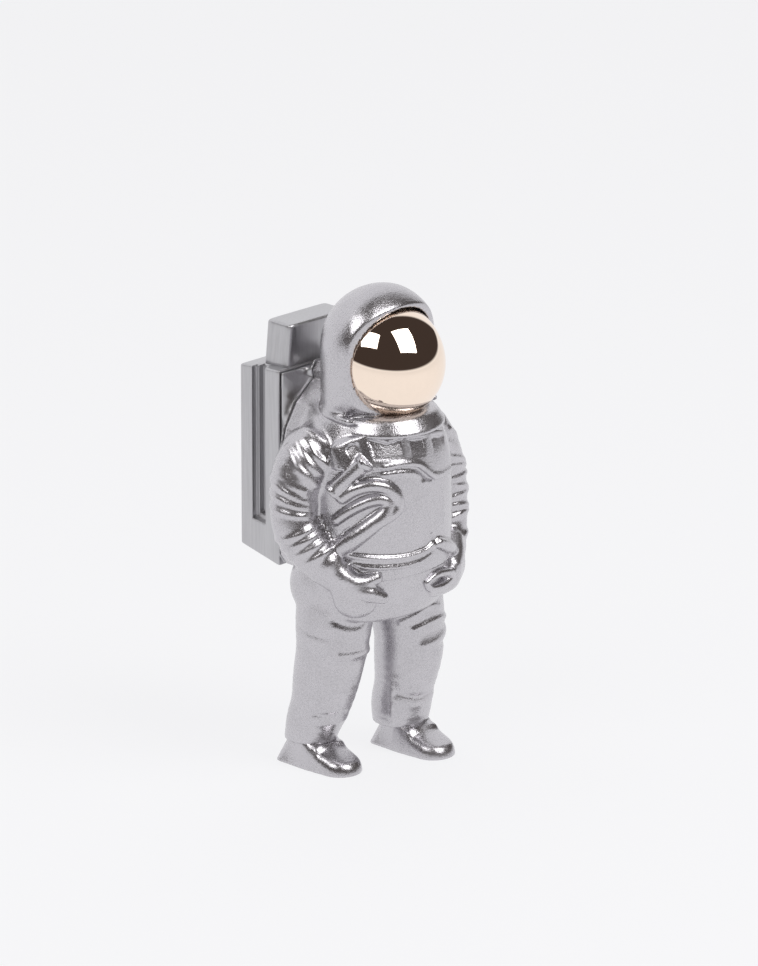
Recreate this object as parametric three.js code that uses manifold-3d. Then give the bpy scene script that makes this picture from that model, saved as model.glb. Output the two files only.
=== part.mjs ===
// Cast-metal astronaut statuette with a pull-off backpack.
// Millimetres, +Z up. The figure faces -Y and its right hand is at -X.

import * as THREE from "three";
import { mergeVertices } from "three/addons/utils/BufferGeometryUtils.js";
import Module from "manifold-3d";

const wasm = await Module();
wasm.setup();

// Driving dimensions.
// Fits.
const SEAT_GAP = 0.3; // between castings that touch
const PIN_GAP = 0.12; // radial, round dowels, screws, pegs and magnets

// Suit: heights of its levels.
const LEG_HEIGHT = 30; // floor to crotch
const TORSO_HEIGHT = 45; // crotch to neck ring
const HOOD_RISE = 12.4; // neck ring to the hood's centre

// Suit: head.
const VISOR_RADIUS = 11.5;
const HOOD_WALL = 0.8; // metal round the visor's recess
const HOOD_RADIUS = VISOR_RADIUS + SEAT_GAP + HOOD_WALL;
const HOOD_FORWARD = 3.6; // hood's centre ahead of the figure's axis
const NECK_RING_RADIUS = HOOD_RADIUS - 1;
const NECK_BAND = 0.9; // radius of each of the two rolled bands
const VISOR_FORWARD = 4.9;
const VISOR_RISE = 10.2; // neck ring to the visor's centre
const VISOR_TILT = 4; // degrees that the visor looks down
const VISOR_LIP = 2.6; // how far the hood's rim reaches over the visor
const VISOR_STEM_RADIUS = 3;
const VISOR_STEM_LENGTH = 4;

// Suit: torso and limbs.
const TORSO_HALF_WIDTH = 16.4;
const TORSO_SQUARENESS = 2.2; // 2 is an ellipse, more is boxier
const TORSO_FRONT = 14.6; // belly ahead of the figure's axis
const BACK_PLANE = 11.1; // flat face that the backpack meets, behind the axis
const ARM_SPAN = 50; // across both elbows
const ARM_RADIUS = 4.6;
const LEG_SPACING = 19; // between the knees' centres
const THIGH_RADIUS = 7.7;
const KNEE_RADIUS = 7.1;
const ANKLE_RADIUS = 5.7;
const ANKLE_HEIGHT = 9.5;
const STEP = 6.4; // left foot ahead of the right one
const BOOT_LENGTH = 18.4;
const BOOT_WIDTH = 8.8;
const BOOT_HEIGHT = 7.6;
const SOLE_THICKNESS = 1.6;
const HEEL_SHARE = 6.6; // ankle's centre to the back of the heel

// Suit: cast relief.
const CHEST_UNIT_HEIGHT = 8.8;
const CHEST_UNIT_PROUD = 1.1;
const CHEST_WINDOW_SINK = 0.8; // its windows' floors below its face
const BELT_HEIGHT = 2.2;
const BELT_PROUD = 0.7;
const HEM_PROUD = 0.5;
const HOSE_RADIUS = 1.3;
const CONNECTOR_RADIUS = 2.3;

// Backpack.
const PACK_WIDTH = 24;
const PACK_DEPTH = 11;
const PACK_HEIGHT = 40.5;
const PACK_TAPER = 1.1; // the rear face leans in by this much at the bottom
const PACK_WALL = 2;
const PACK_EDGE = 0.7; // bevel
const CHANNEL_WIDTH = 3.7;
const CHANNEL_DEPTH = 1.2;
const CHANNEL_INNER_WIDTH = 1.9;
const CHANNEL_FOOT = 8.6; // solid block below the channel
const RIB_WIDTH = 3.9; // front rib beside the channel
const SADDLE_THICKNESS = 2.25;
const TOP_UNIT_WIDTH = 16.2;
const TOP_UNIT_DEPTH = 6.8;
const TOP_UNIT_HEIGHT = 6.4;
const TOP_UNIT_FOOT = 1.8; // narrower foot under it
const TOP_UNIT_INSET = 3.7; // from the pack's rear face
const PEG_RADIUS = 1.4;
const PEG_SPACING = 10.6;

// Magnets, dowels and screws.
const MAGNET_RADIUS = 3;
const BODY_MAGNET_THICKNESS = 2;
const PACK_MAGNET_THICKNESS = 1.5;
const MAGNET_SPACING = 16;
const DOWEL_RADIUS = 1.2;
const DOWEL_REACH = 3.5; // into the suit
const DOWEL_SPACING = 18;
const SCREW_RADIUS = 1;
const SCREW_LENGTH = 8;
const SCREW_HEAD_RADIUS = 1.9;
const SCREW_HEAD_HEIGHT = 1.2;
const SCREW_SPACING = 30;
const SCREW_SOCKET_RADIUS = 0.75;

// Levels and faces that follow from them.
const NECK_Z = LEG_HEIGHT + TORSO_HEIGHT;
const HOOD_CENTRE = new THREE.Vector3(0, -HOOD_FORWARD, NECK_Z + HOOD_RISE);
const VISOR_CENTRE = new THREE.Vector3(0, -VISOR_FORWARD, NECK_Z + VISOR_RISE);
const SADDLE_FRONT = BACK_PLANE + SEAT_GAP;
const SADDLE_REAR = SADDLE_FRONT + SADDLE_THICKNESS;
const PACK_FRONT = SADDLE_REAR + SEAT_GAP;
const PACK_REAR = PACK_FRONT + PACK_DEPTH;
const SADDLE_TOP = NECK_Z + 7; // tongue behind the hood
const PACK_TOP = SADDLE_TOP - 1.2;
const PACK_BOTTOM = PACK_TOP - PACK_HEIGHT;
const PACK_MIDDLE = LEG_HEIGHT + TORSO_HEIGHT * 0.66; // level of the dowels
const ELBOW_X = ARM_SPAN / 2 - ARM_RADIUS;
const RIGHT = -1;
const LEFT = 1;
const LONG = 200; // larger than anything here, for cutting tools

// Metals.
const zinc = new THREE.MeshStandardMaterial({ color: 0x9b9ba3, roughness: 0.38, metalness: 1 });
const satinZinc = new THREE.MeshStandardMaterial({ color: 0xa2a2a8, roughness: 0.28, metalness: 1 });
const roseGold = new THREE.MeshStandardMaterial({ color: 0xe0a988, roughness: 0.04, metalness: 1 });
const nickel = new THREE.MeshStandardMaterial({ color: 0xc9c8c2, roughness: 0.2, metalness: 1 });
const steel = new THREE.MeshStandardMaterial({ color: 0x8f9196, roughness: 0.3, metalness: 1 });

// Solids.

/** A closed geometry as a solid: its vertices are merged and its empty triangles dropped. */
function solid(geometry) {
  const bare = new THREE.BufferGeometry();
  bare.setAttribute("position", geometry.getAttribute("position").clone());
  bare.setIndex(geometry.index);
  const merged = mergeVertices(bare, 1e-4);
  const corners = [];
  for (let i = 0; i < merged.index.count; i += 3) {
    const [a, b, c] = [0, 1, 2].map((k) => merged.index.getX(i + k));
    if (a !== b && b !== c && c !== a) {
      corners.push(a, b, c);
    }
  }
  const mesh = new wasm.Mesh({
    numProp: 3,
    vertProperties: merged.attributes.position.array,
    triVerts: new Uint32Array(corners),
  });
  return new wasm.Manifold(mesh);
}

function joined(parts) {
  return parts.reduce((whole, part) => whole.add(part));
}

function cut(whole, tools) {
  return tools.reduce((left, tool) => left.subtract(tool), whole);
}

/** A solid as a named mesh with flat faces. */
function meshOf(name, made, material) {
  const { numProp, vertProperties, triVerts } = made.getMesh();
  const interleaved = new THREE.InterleavedBuffer(vertProperties, numProp);
  const geometry = new THREE.BufferGeometry();
  geometry.setAttribute("position", new THREE.InterleavedBufferAttribute(interleaved, 3, 0));
  geometry.setIndex(new THREE.BufferAttribute(triVerts, 1));
  const flat = geometry.toNonIndexed();
  flat.computeVertexNormals();
  const mesh = new THREE.Mesh(flat, material);
  mesh.name = name;
  return mesh;
}

function box(x0, x1, y0, y1, z0, z1) {
  const geometry = new THREE.BoxGeometry(x1 - x0, y1 - y0, z1 - z0);
  return solid(geometry.translate((x0 + x1) / 2, (y0 + y1) / 2, (z0 + z1) / 2));
}

/** A cylinder along Y, from y0 to y1. */
function rod(radius, x, z, y0, y1, sides = 24) {
  const geometry = new THREE.CylinderGeometry(radius, radius, y1 - y0, sides);
  return solid(geometry.translate(x, (y0 + y1) / 2, z).toNonIndexed());
}

function ellipsoid(centre, radii, fine = 12) {
  const geometry = new THREE.SphereGeometry(1, fine, Math.round(fine * 0.6));
  return solid(geometry.scale(radii.x, radii.y, radii.z).translate(centre.x, centre.y, centre.z));
}

function ball(centre, radius, fine) {
  return ellipsoid(centre, v3(radius, radius, radius), fine);
}

function v3(x, y, z) {
  return new THREE.Vector3(x, y, z);
}

/** A smooth function through the rows [key, value, value ...]. */
function smooth(rows) {
  const size = rows[0].length - 1;
  const keys = rows.map((row) => row[0]);
  const values = rows.flatMap((row) => row.slice(1));
  const cubic = new THREE.CubicInterpolant(keys, values, size, new Float64Array(size));
  return (key) => Array.from(cubic.evaluate(key));
}

/** A closed barrel of flattened ellipses, one for each ring [z, half width, front, back]. */
function barrel(rings, sides) {
  const geometry = new THREE.CylinderGeometry(1, 1, 1, sides, rings.length - 1);
  const position = geometry.getAttribute("position");
  const power = 2 / TORSO_SQUARENESS;
  for (let i = 0; i < position.count; i += 1) {
    const across = position.getX(i);
    const along = -position.getZ(i); // the cylinder's axis is Y
    const reach = Math.hypot(across, along); // 0 in the middle of a cap
    const ring = Math.round((position.getY(i) + 0.5) * (rings.length - 1));
    const [z, half, front, back] = rings[ring];
    const angle = Math.atan2(along, across);
    const x = reach * half * Math.sign(across) * Math.abs(Math.cos(angle)) ** power;
    const depth = along < 0 ? front : back;
    const y = reach * depth * Math.sign(along) * Math.abs(Math.sin(angle)) ** power;
    position.setXYZ(i, x, y, z);
  }
  return solid(geometry);
}

/**
 * A limb: a round tube along a smooth path, with its own radius at each point and, between two shares
 * of its length, gathered folds that ripple the surface. The ends named in balls are rounded.
 */
function limb(points, radii, { sides = 14, steps = 18, folds = null, balls = [] } = {}) {
  const path = new THREE.CatmullRomCurve3(points);
  const last = points.length - 1;
  const radiusAt = smooth(radii.map((radius, i) => [i / last, radius]));
  const geometry = new THREE.CylinderGeometry(1, 1, 1, sides, steps);
  const position = geometry.getAttribute("position");
  for (let i = 0; i < position.count; i += 1) {
    const share = position.getY(i) + 0.5;
    const centre = path.getPoint(share);
    const along = path.getTangent(share);
    const side = v3(1, 0, 0).addScaledVector(along, -along.x).normalize();
    const ahead = new THREE.Vector3().crossVectors(along, side);
    let radius = radiusAt(share)[0];
    if (folds && share > folds.from && share < folds.to) {
      const turns = (folds.count * (share - folds.from)) / (folds.to - folds.from);
      radius += folds.height * Math.sin(2 * Math.PI * turns);
    }
    const across = side.multiplyScalar(position.getX(i) * radius);
    const depth = ahead.multiplyScalar(-position.getZ(i) * radius);
    centre.add(across).add(depth);
    position.setXYZ(i, centre.x, centre.y, centre.z);
  }
  const ends = { start: 0, end: last };
  const rounded = balls.map((end) => ball(points[ends[end]], radii[ends[end]]));
  return joined([solid(geometry), ...rounded]);
}

/** A hose: a round section carried along a smooth path. */
function hose(points, radius) {
  const section = new THREE.Shape().absarc(0, 0, radius, 0, 2 * Math.PI);
  const geometry = new THREE.ExtrudeGeometry(section, {
    steps: 16,
    curveSegments: 4,
    bevelEnabled: false,
    extrudePath: new THREE.CatmullRomCurve3(points),
  });
  return solid(geometry);
}

// Shared outlines.

/** Outline of the back face, in x and z: the tongue behind the hood, the shoulders and the waist. */
function backOutline(inset = 0) {
  const halves = [
    [4.2, SADDLE_TOP],
    [5.3, SADDLE_TOP - 2],
    [5, NECK_Z + 3.6],
    [10, NECK_Z - 0.4],
    [13, NECK_Z - 5.4],
    [14.8, NECK_Z - 13.4],
    [14.5, LEG_HEIGHT + 13.6],
    [12.8, LEG_HEIGHT + 11.2],
  ].map(([x, z]) => new THREE.Vector2(Math.min(x, TORSO_HALF_WIDTH - 1.2) - inset, z));
  halves[0].y -= inset;
  halves[halves.length - 1].y += inset;
  const mirrored = halves.map(({ x, y }) => new THREE.Vector2(-x, y)).reverse();
  return new THREE.Shape([...mirrored, ...halves].reverse());
}

/** The back outline as a slab from y0 to y1. */
function backSlab(y0, y1, bevel) {
  const geometry = new THREE.ExtrudeGeometry(backOutline(), {
    depth: y1 - y0 - 2 * bevel,
    bevelThickness: bevel,
    bevelSize: bevel,
    bevelOffset: -bevel,
    bevelSegments: 2,
    bevelEnabled: bevel > 0,
  });
  return solid(geometry.rotateX(Math.PI / 2).translate(0, y1 - bevel, 0));
}

function magnetLevels() {
  return { upper: PACK_MIDDLE + MAGNET_SPACING / 2, lower: PACK_MIDDLE - MAGNET_SPACING / 2 };
}

function screwLevels() {
  return { upper: PACK_MIDDLE + SCREW_SPACING / 2, lower: PACK_MIDDLE - SCREW_SPACING / 2 };
}

function dowelPlaces() {
  return { right: RIGHT * DOWEL_SPACING / 2, left: LEFT * DOWEL_SPACING / 2 };
}

// The suit.

/** Directions of the visor: it looks forward and a little down. */
function visorFrame() {
  const tilt = THREE.MathUtils.degToRad(VISOR_TILT);
  return new THREE.Matrix4().makeRotationX(Math.PI + tilt).setPosition(VISOR_CENTRE);
}

function hood() {
  const frame = visorFrame();
  const shell = ball(HOOD_CENTRE, HOOD_RADIUS, 28);
  const sides = upright(HOOD_RADIUS * 0.99, NECK_Z, HOOD_CENTRE.z);
  const ahead = new THREE.BoxGeometry(LONG, LONG, LONG).translate(0, LONG / 2 + VISOR_LIP, 0);
  const collar = [NECK_BAND * 0.9, -NECK_BAND * 0.9].map((rise) => {
    const band = new THREE.TorusGeometry(NECK_RING_RADIUS, NECK_BAND, 6, 28);
    return solid(band.translate(0, -HOOD_FORWARD, NECK_Z + rise));
  });
  const neck = upright(NECK_RING_RADIUS, NECK_Z - 3, NECK_Z + 3);
  const belowRim = box(-LONG, LONG, -LONG, LONG, -LONG, NECK_Z + NECK_BAND);
  const opening = solid(ahead.applyMatrix4(frame)).subtract(belowRim);
  return joined([shell.add(sides).subtract(opening), ...collar, neck]);
}

/** A cylinder on the hood's own upright axis. */
function upright(radius, low, high) {
  const geometry = new THREE.CylinderGeometry(radius, radius, high - low, 28).rotateX(Math.PI / 2);
  return solid(geometry.translate(0, -HOOD_FORWARD, (low + high) / 2));
}

/** The visor: a half ball with a flat back and a stem, grown by a gap when it is the hood's recess. */
function visorSolid(gap = 0) {
  const radius = VISOR_RADIUS + gap;
  const profile = [new THREE.Vector2(0, -VISOR_STEM_LENGTH - gap)];
  profile.push(new THREE.Vector2(VISOR_STEM_RADIUS + gap, -VISOR_STEM_LENGTH - gap));
  profile.push(new THREE.Vector2(VISOR_STEM_RADIUS + gap, -gap));
  const steps = 9;
  for (let i = 0; i <= steps; i += 1) {
    const angle = (i / steps) * (Math.PI / 2);
    const reach = radius * Math.sin(angle) - gap * (1 - i / steps);
    profile.push(new THREE.Vector2(radius * Math.cos(angle), reach));
  }
  profile[profile.length - 1].x = 0;
  return solid(new THREE.LatheGeometry(profile, 28).applyMatrix4(visorFrame()));
}

const TORSO_ROWS = [
  [LEG_HEIGHT + 0.6, TORSO_HALF_WIDTH - 4.6, TORSO_FRONT - 5, BACK_PLANE - 4],
  [LEG_HEIGHT + 3.5, TORSO_HALF_WIDTH - 1.6, TORSO_FRONT - 2.4, BACK_PLANE - 1.8],
  [LEG_HEIGHT + 8, TORSO_HALF_WIDTH - 0.2, TORSO_FRONT - 0.9, BACK_PLANE - 0.6],
  [LEG_HEIGHT + TORSO_HEIGHT * 0.33, TORSO_HALF_WIDTH, TORSO_FRONT - 0.3, BACK_PLANE - 0.4],
  [LEG_HEIGHT + TORSO_HEIGHT * 0.52, TORSO_HALF_WIDTH, TORSO_FRONT, BACK_PLANE - 0.4],
  [NECK_Z - 13, TORSO_HALF_WIDTH, TORSO_FRONT - 0.4, BACK_PLANE - 0.4],
  [NECK_Z - 7, TORSO_HALF_WIDTH - 0.9, TORSO_FRONT - 1.5, BACK_PLANE - 0.4],
  [NECK_Z - 3, TORSO_HALF_WIDTH - 2.8, TORSO_FRONT - 2.4, BACK_PLANE - 0.6],
  [NECK_Z, TORSO_HALF_WIDTH - 4.8, TORSO_FRONT - 3, BACK_PLANE - 1.6],
];

/** Half width, front and back of the torso at a height. */
const girth = smooth(TORSO_ROWS);

function torso() {
  const steps = 11;
  const rings = Array.from({ length: steps + 1 }, (_, i) => {
    const z = TORSO_ROWS[0][0] + ((NECK_Z - TORSO_ROWS[0][0]) * i) / steps;
    return [z, ...girth(z)];
  });
  return barrel(rings, 28);
}

/** A band round the torso between two levels, proud of it, with chamfered edges. */
function wrap(low, high, proud) {
  const edge = Math.min(0.6, (high - low) / 3);
  const rings = [[low, 0], [low + edge, proud], [high - edge, proud], [high, 0]].map(([z, out]) => {
    const [half, front, back] = girth(z);
    return [z, half + out, front + out, back - 0.4];
  });
  return barrel(rings, 28);
}

/** The point of the torso's front at x and z, moved forward by proud. */
function onFront(x, z, proud) {
  const [half, front] = girth(z);
  const share = Math.min(Math.abs(x) / half, 0.98) ** TORSO_SQUARENESS;
  return v3(x, -front * (1 - share) ** (1 / TORSO_SQUARENESS) - proud, z);
}

/** The chest unit: a raised block that wraps the chest, with sunk windows between upright bars. */
function chestUnit() {
  const top = NECK_Z - 2.4;
  const low = top - CHEST_UNIT_HEIGHT;
  const block = wrap(low, top, CHEST_UNIT_PROUD);
  const behind = box(-LONG, LONG, TORSO_FRONT * 0.3, LONG, 0, LONG);
  const floor = wrap(low, top, CHEST_UNIT_PROUD - CHEST_WINDOW_SINK);
  const windows = [[-11, -7.2], [-4.6, -1.4], [0.6, 3.4]].map(([x0, x1]) =>
    box(x0, x1, -LONG, -TORSO_FRONT * 0.3, low + 1.6, top - 1.4).subtract(floor),
  );
  return cut(block, [behind, ...windows]);
}

/** A short connector on the chest and the hose that loops from it round to the hip. */
function hoses() {
  const connector = limb(
    [onFront(-5.6, NECK_Z - 10.6, 0.3), onFront(-11, NECK_Z - 17, 0.9)],
    [CONNECTOR_RADIUS, CONNECTOR_RADIUS],
    { sides: 12, steps: 2, balls: ["start", "end"] },
  );
  const loop = [
    onFront(-4.6, NECK_Z - 12, 0.2),
    onFront(-1.6, NECK_Z - 14.2, 0.4),
    onFront(-1.2, NECK_Z - 18, 0.4),
    onFront(-5, NECK_Z - 21.6, 0.4),
    onFront(-11.6, NECK_Z - 25, 0.4),
    onFront(-14.6, NECK_Z - 27.4, -0.6),
  ];
  return [connector, hose(loop, HOSE_RADIUS)];
}

/** Arm and glove. The right hand rests higher on the hip than the left one. */
function arm(side) {
  const lift = side === RIGHT ? 0 : -4.6;
  const shift = side === RIGHT ? 1.8 : -0.2;
  const shoulder = NECK_Z - 9.8;
  const wrist = LEG_HEIGHT + 15.6 + lift;
  const path = [
    v3(side * (ELBOW_X - 4.9), 0.4 + shift, shoulder),
    v3(side * (ELBOW_X - 1), 0.2 + shift, (2 * shoulder + wrist) / 3 + 1),
    v3(side * ELBOW_X, -1 + shift, (shoulder + 2 * wrist) / 3 + 1.4),
    v3(side * (ELBOW_X - 1.5), -3.8 + shift, wrist + 3),
    v3(side * (ELBOW_X - 3.6), -6.2 + shift, wrist - 0.4),
  ];
  const radii = [ARM_RADIUS + 0.9, ARM_RADIUS, ARM_RADIUS, ARM_RADIUS - 0.4, ARM_RADIUS - 0.9];
  const sleeve = limb(path, radii, {
    sides: 12,
    steps: 17,
    folds: { from: 0.15, to: 0.85, count: 4, height: 0.35 },
    balls: ["start"],
  });
  const palm = path[path.length - 1];
  const knuckles = onFront(side * (ELBOW_X - 6.6), wrist - 4, 0.2);
  const fingertips = onFront(side * (ELBOW_X - 10.4), wrist - 6.6, 0);
  const glove = limb([palm, knuckles, fingertips], [ARM_RADIUS - 1, ARM_RADIUS - 1, 2], {
    steps: 6,
    sides: 12,
    balls: ["start", "end"],
  });
  return [sleeve, glove];
}

function ankle(side) {
  return v3(side * (LEG_SPACING / 2 + 0.4), (side * -STEP) / 2 + 2, ANKLE_HEIGHT);
}

function leg(side) {
  const foot = ankle(side);
  const knee = v3(side * LEG_SPACING / 2, side * -1.5 + 0.2, LEG_HEIGHT - 5.5);
  const path = [
    v3(side * (LEG_SPACING / 2 - 1), 0.4, LEG_HEIGHT + 7),
    v3(side * (LEG_SPACING / 2 - 0.5), side * -0.6 + 0.2, LEG_HEIGHT + 1),
    knee,
    v3((knee.x + foot.x) / 2, (knee.y + foot.y) / 2, (knee.z + foot.z) / 2),
    foot,
    v3(foot.x, foot.y, SOLE_THICKNESS + 2),
  ];
  const shin = KNEE_RADIUS - 0.9;
  const radii = [THIGH_RADIUS, THIGH_RADIUS, KNEE_RADIUS, shin, ANKLE_RADIUS, ANKLE_RADIUS - 1.4];
  const folds = { from: 0.25, to: 0.5, count: 2, height: 0.35 };
  return limb(path, radii, { sides: 12, steps: 14, folds });
}

/** Boot: a flat sole with rounded ends and a domed upper that rises to the ankle. */
function boot(side) {
  const foot = ankle(side);
  const half = BOOT_WIDTH / 2;
  const heelY = foot.y + HEEL_SHARE;
  const toeY = heelY - BOOT_LENGTH;
  const outline = new THREE.Shape();
  outline.absarc(foot.x, toeY + half, half, Math.PI, 2 * Math.PI);
  outline.absarc(foot.x, heelY - half + 0.6, half - 0.6, 0, Math.PI);
  const sole = new THREE.ExtrudeGeometry(outline, {
    depth: SOLE_THICKNESS - 0.8,
    curveSegments: 7,
    bevelThickness: 0.4,
    bevelSize: 0.3,
    bevelOffset: -0.3,
    bevelSegments: 1,
  });
  const middle = v3(foot.x, (toeY + heelY) / 2, SOLE_THICKNESS * 0.6);
  const upper = ellipsoid(middle, v3(half - 0.2, BOOT_LENGTH / 2 - 0.3, BOOT_HEIGHT - SOLE_THICKNESS), 18);
  const below = box(-LONG, LONG, -LONG, LONG, -LONG, SOLE_THICKNESS / 2);
  return [solid(sole.translate(0, 0, 0.4)), upper.subtract(below)];
}

function suitCasting() {
  const cast = joined([
    hood(),
    torso(),
    backSlab(2, BACK_PLANE, 0.8),
    wrap(LEG_HEIGHT + 13.8, LEG_HEIGHT + 13.8 + BELT_HEIGHT, BELT_PROUD),
    wrap(LEG_HEIGHT + 8.6, LEG_HEIGHT + 10.4, HEM_PROUD),
    chestUnit(),
    ...hoses(),
    ...[RIGHT, LEFT].flatMap((side) => [...arm(side), leg(side), ...boot(side)]),
  ]);
  const behind = box(-LONG, LONG, BACK_PLANE, LONG, LEG_HEIGHT, LONG);
  const magnetFloor = BACK_PLANE - BODY_MAGNET_THICKNESS - 2 * PIN_GAP;
  const pockets = Object.values(magnetLevels()).map((z) =>
    rod(MAGNET_RADIUS + PIN_GAP, 0, z, magnetFloor, BACK_PLANE + 1),
  );
  const bores = Object.values(dowelPlaces()).map((x) =>
    rod(DOWEL_RADIUS + PIN_GAP, x, PACK_MIDDLE, BACK_PLANE - DOWEL_REACH - 2 * PIN_GAP, BACK_PLANE + 1),
  );
  return cut(cast, [behind, visorSolid(SEAT_GAP), ...pockets, ...bores]);
}

// The backpack.

function packShell() {
  const half = PACK_WIDTH / 2;
  const side = new THREE.Shape([
    new THREE.Vector2(PACK_FRONT, PACK_BOTTOM),
    new THREE.Vector2(PACK_REAR - PACK_TAPER, PACK_BOTTOM + 1.8),
    new THREE.Vector2(PACK_REAR, PACK_TOP - 0.8),
    new THREE.Vector2(PACK_FRONT, PACK_TOP),
  ]);
  const block = new THREE.ExtrudeGeometry(side, {
    depth: PACK_WIDTH - 2 * PACK_EDGE,
    bevelThickness: PACK_EDGE,
    bevelSize: PACK_EDGE,
    bevelOffset: -PACK_EDGE,
    bevelSegments: 2,
  });
  // The shape lies in x and y, so it is stood up: x becomes Y and y becomes Z.
  block.translate(0, 0, -half + PACK_EDGE).applyMatrix4(
    new THREE.Matrix4().makeBasis(v3(0, 1, 0), v3(0, 0, 1), v3(1, 0, 0)),
  );
  const tools = [];
  const channelFront = PACK_FRONT + RIB_WIDTH;
  const channelFloor = PACK_BOTTOM + CHANNEL_FOOT;
  const stepIn = (CHANNEL_WIDTH - CHANNEL_INNER_WIDTH) / 2;
  const ribHalf = SCREW_RADIUS + PIN_GAP + 1.2;
  const pocketHalf = half - 2 * CHANNEL_DEPTH - PACK_WALL + 0.6;
  const pocketFloor = PACK_REAR - PACK_TAPER - PACK_WALL;
  const pocketLow = PACK_BOTTOM + PACK_WALL + 1.2;
  const pegTop = PACK_TOP + 1;
  const pegBore = PEG_RADIUS + PIN_GAP;
  for (const way of [RIGHT, LEFT]) {
    const cutSide = (near, far, y0, y1, z0, z1) =>
      tools.push(way === LEFT ? box(near, far, y0, y1, z0, z1) : box(-far, -near, y0, y1, z0, z1));
    cutSide(half - CHANNEL_DEPTH, LONG, channelFront, channelFront + CHANNEL_WIDTH, channelFloor, LONG);
    cutSide(
      half - 2 * CHANNEL_DEPTH,
      LONG,
      channelFront + stepIn,
      channelFront + stepIn + CHANNEL_INNER_WIDTH,
      channelFloor + 2,
      LONG,
    );
    cutSide(ribHalf, pocketHalf, 0, pocketFloor, pocketLow, PACK_TOP - PACK_WALL - 0.6);
    const peg = new THREE.CylinderGeometry(pegBore, pegBore, 2 * PACK_WALL + 4, 20);
    tools.push(solid(peg.rotateX(Math.PI / 2).translate(way * PEG_SPACING / 2, topUnitMiddle(), pegTop)));
  }
  for (const z of Object.values(screwLevels())) {
    tools.push(rod(SCREW_RADIUS + PIN_GAP, 0, z, 0, SADDLE_FRONT + SCREW_LENGTH + 0.6, 16));
  }
  return cut(solid(block), tools);
}

function topUnitMiddle() {
  return PACK_REAR - TOP_UNIT_INSET - TOP_UNIT_DEPTH / 2;
}

/** Box on top of the pack: a soft-edged block on a narrower foot, held by two pegs. */
function topUnit() {
  const edge = 0.7;
  const low = PACK_TOP + SEAT_GAP + TOP_UNIT_FOOT;
  const slab = (width, depth) => {
    const shape = new THREE.Shape();
    shape.moveTo(-width / 2, -depth / 2);
    shape.lineTo(width / 2, -depth / 2);
    shape.lineTo(width / 2, depth / 2);
    shape.lineTo(-width / 2, depth / 2);
    shape.closePath();
    return shape;
  };
  const block = new THREE.ExtrudeGeometry(slab(TOP_UNIT_WIDTH, TOP_UNIT_DEPTH), {
    depth: TOP_UNIT_HEIGHT - 2 * edge,
    bevelThickness: edge,
    bevelSize: edge,
    bevelOffset: -edge,
    bevelSegments: 2,
  }).translate(0, topUnitMiddle(), low + edge);
  const foot = new THREE.ExtrudeGeometry(slab(TOP_UNIT_WIDTH - 2.4, TOP_UNIT_DEPTH - 1.6), {
    depth: TOP_UNIT_FOOT + edge,
    bevelEnabled: false,
  }).translate(0, topUnitMiddle(), low - TOP_UNIT_FOOT);
  const pegLength = PACK_WALL + 0.4;
  const pegs = [RIGHT, LEFT].map((way) => {
    const peg = new THREE.CylinderGeometry(PEG_RADIUS, PEG_RADIUS, pegLength + TOP_UNIT_FOOT, 20);
    const middle = low - TOP_UNIT_FOOT + (TOP_UNIT_FOOT - pegLength) / 2;
    return solid(peg.rotateX(Math.PI / 2).translate(way * PEG_SPACING / 2, topUnitMiddle(), middle));
  });
  return joined([solid(block), solid(foot), ...pegs]);
}

/** Saddle: the plate that closes the pack and carries its magnets, dowels and screws. */
function saddle() {
  const magnetFloor = SADDLE_FRONT + PACK_MAGNET_THICKNESS + 2 * PIN_GAP;
  const headFloor = SADDLE_FRONT + SCREW_HEAD_HEIGHT + PIN_GAP;
  const tools = [];
  for (const z of Object.values(magnetLevels())) {
    tools.push(rod(MAGNET_RADIUS + PIN_GAP, 0, z, SADDLE_FRONT - 1, magnetFloor));
  }
  for (const x of Object.values(dowelPlaces())) {
    tools.push(rod(DOWEL_RADIUS + PIN_GAP, x, PACK_MIDDLE, SADDLE_FRONT - 1, SADDLE_REAR + 1));
  }
  for (const z of Object.values(screwLevels())) {
    tools.push(rod(SCREW_RADIUS + PIN_GAP, 0, z, SADDLE_FRONT - 1, SADDLE_REAR + 1, 16));
    tools.push(rod(SCREW_HEAD_RADIUS + PIN_GAP, 0, z, SADDLE_FRONT - 1, headFloor, 20));
  }
  return cut(backSlab(SADDLE_FRONT, SADDLE_REAR, 0.5), tools);
}

function magnet(x, z, y0, y1) {
  const edge = 0.2;
  const half = (y1 - y0) / 2;
  const profile = [
    [0, -half],
    [MAGNET_RADIUS - edge, -half],
    [MAGNET_RADIUS, -half + edge],
    [MAGNET_RADIUS, half - edge],
    [MAGNET_RADIUS - edge, half],
    [0, half],
  ].map(([r, y]) => new THREE.Vector2(r, y));
  return solid(new THREE.LatheGeometry(profile, 24).translate(x, (y0 + y1) / 2, z));
}

function dowel(x) {
  const front = BACK_PLANE - DOWEL_REACH;
  const rear = SADDLE_REAR - PIN_GAP;
  const tip = 0.5;
  const profile = [
    [0, front],
    [DOWEL_RADIUS - tip, front],
    [DOWEL_RADIUS, front + tip],
    [DOWEL_RADIUS, rear],
    [0, rear],
  ].map(([r, y]) => new THREE.Vector2(r, y));
  return solid(new THREE.LatheGeometry(profile, 24).translate(x, 0, PACK_MIDDLE));
}

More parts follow.
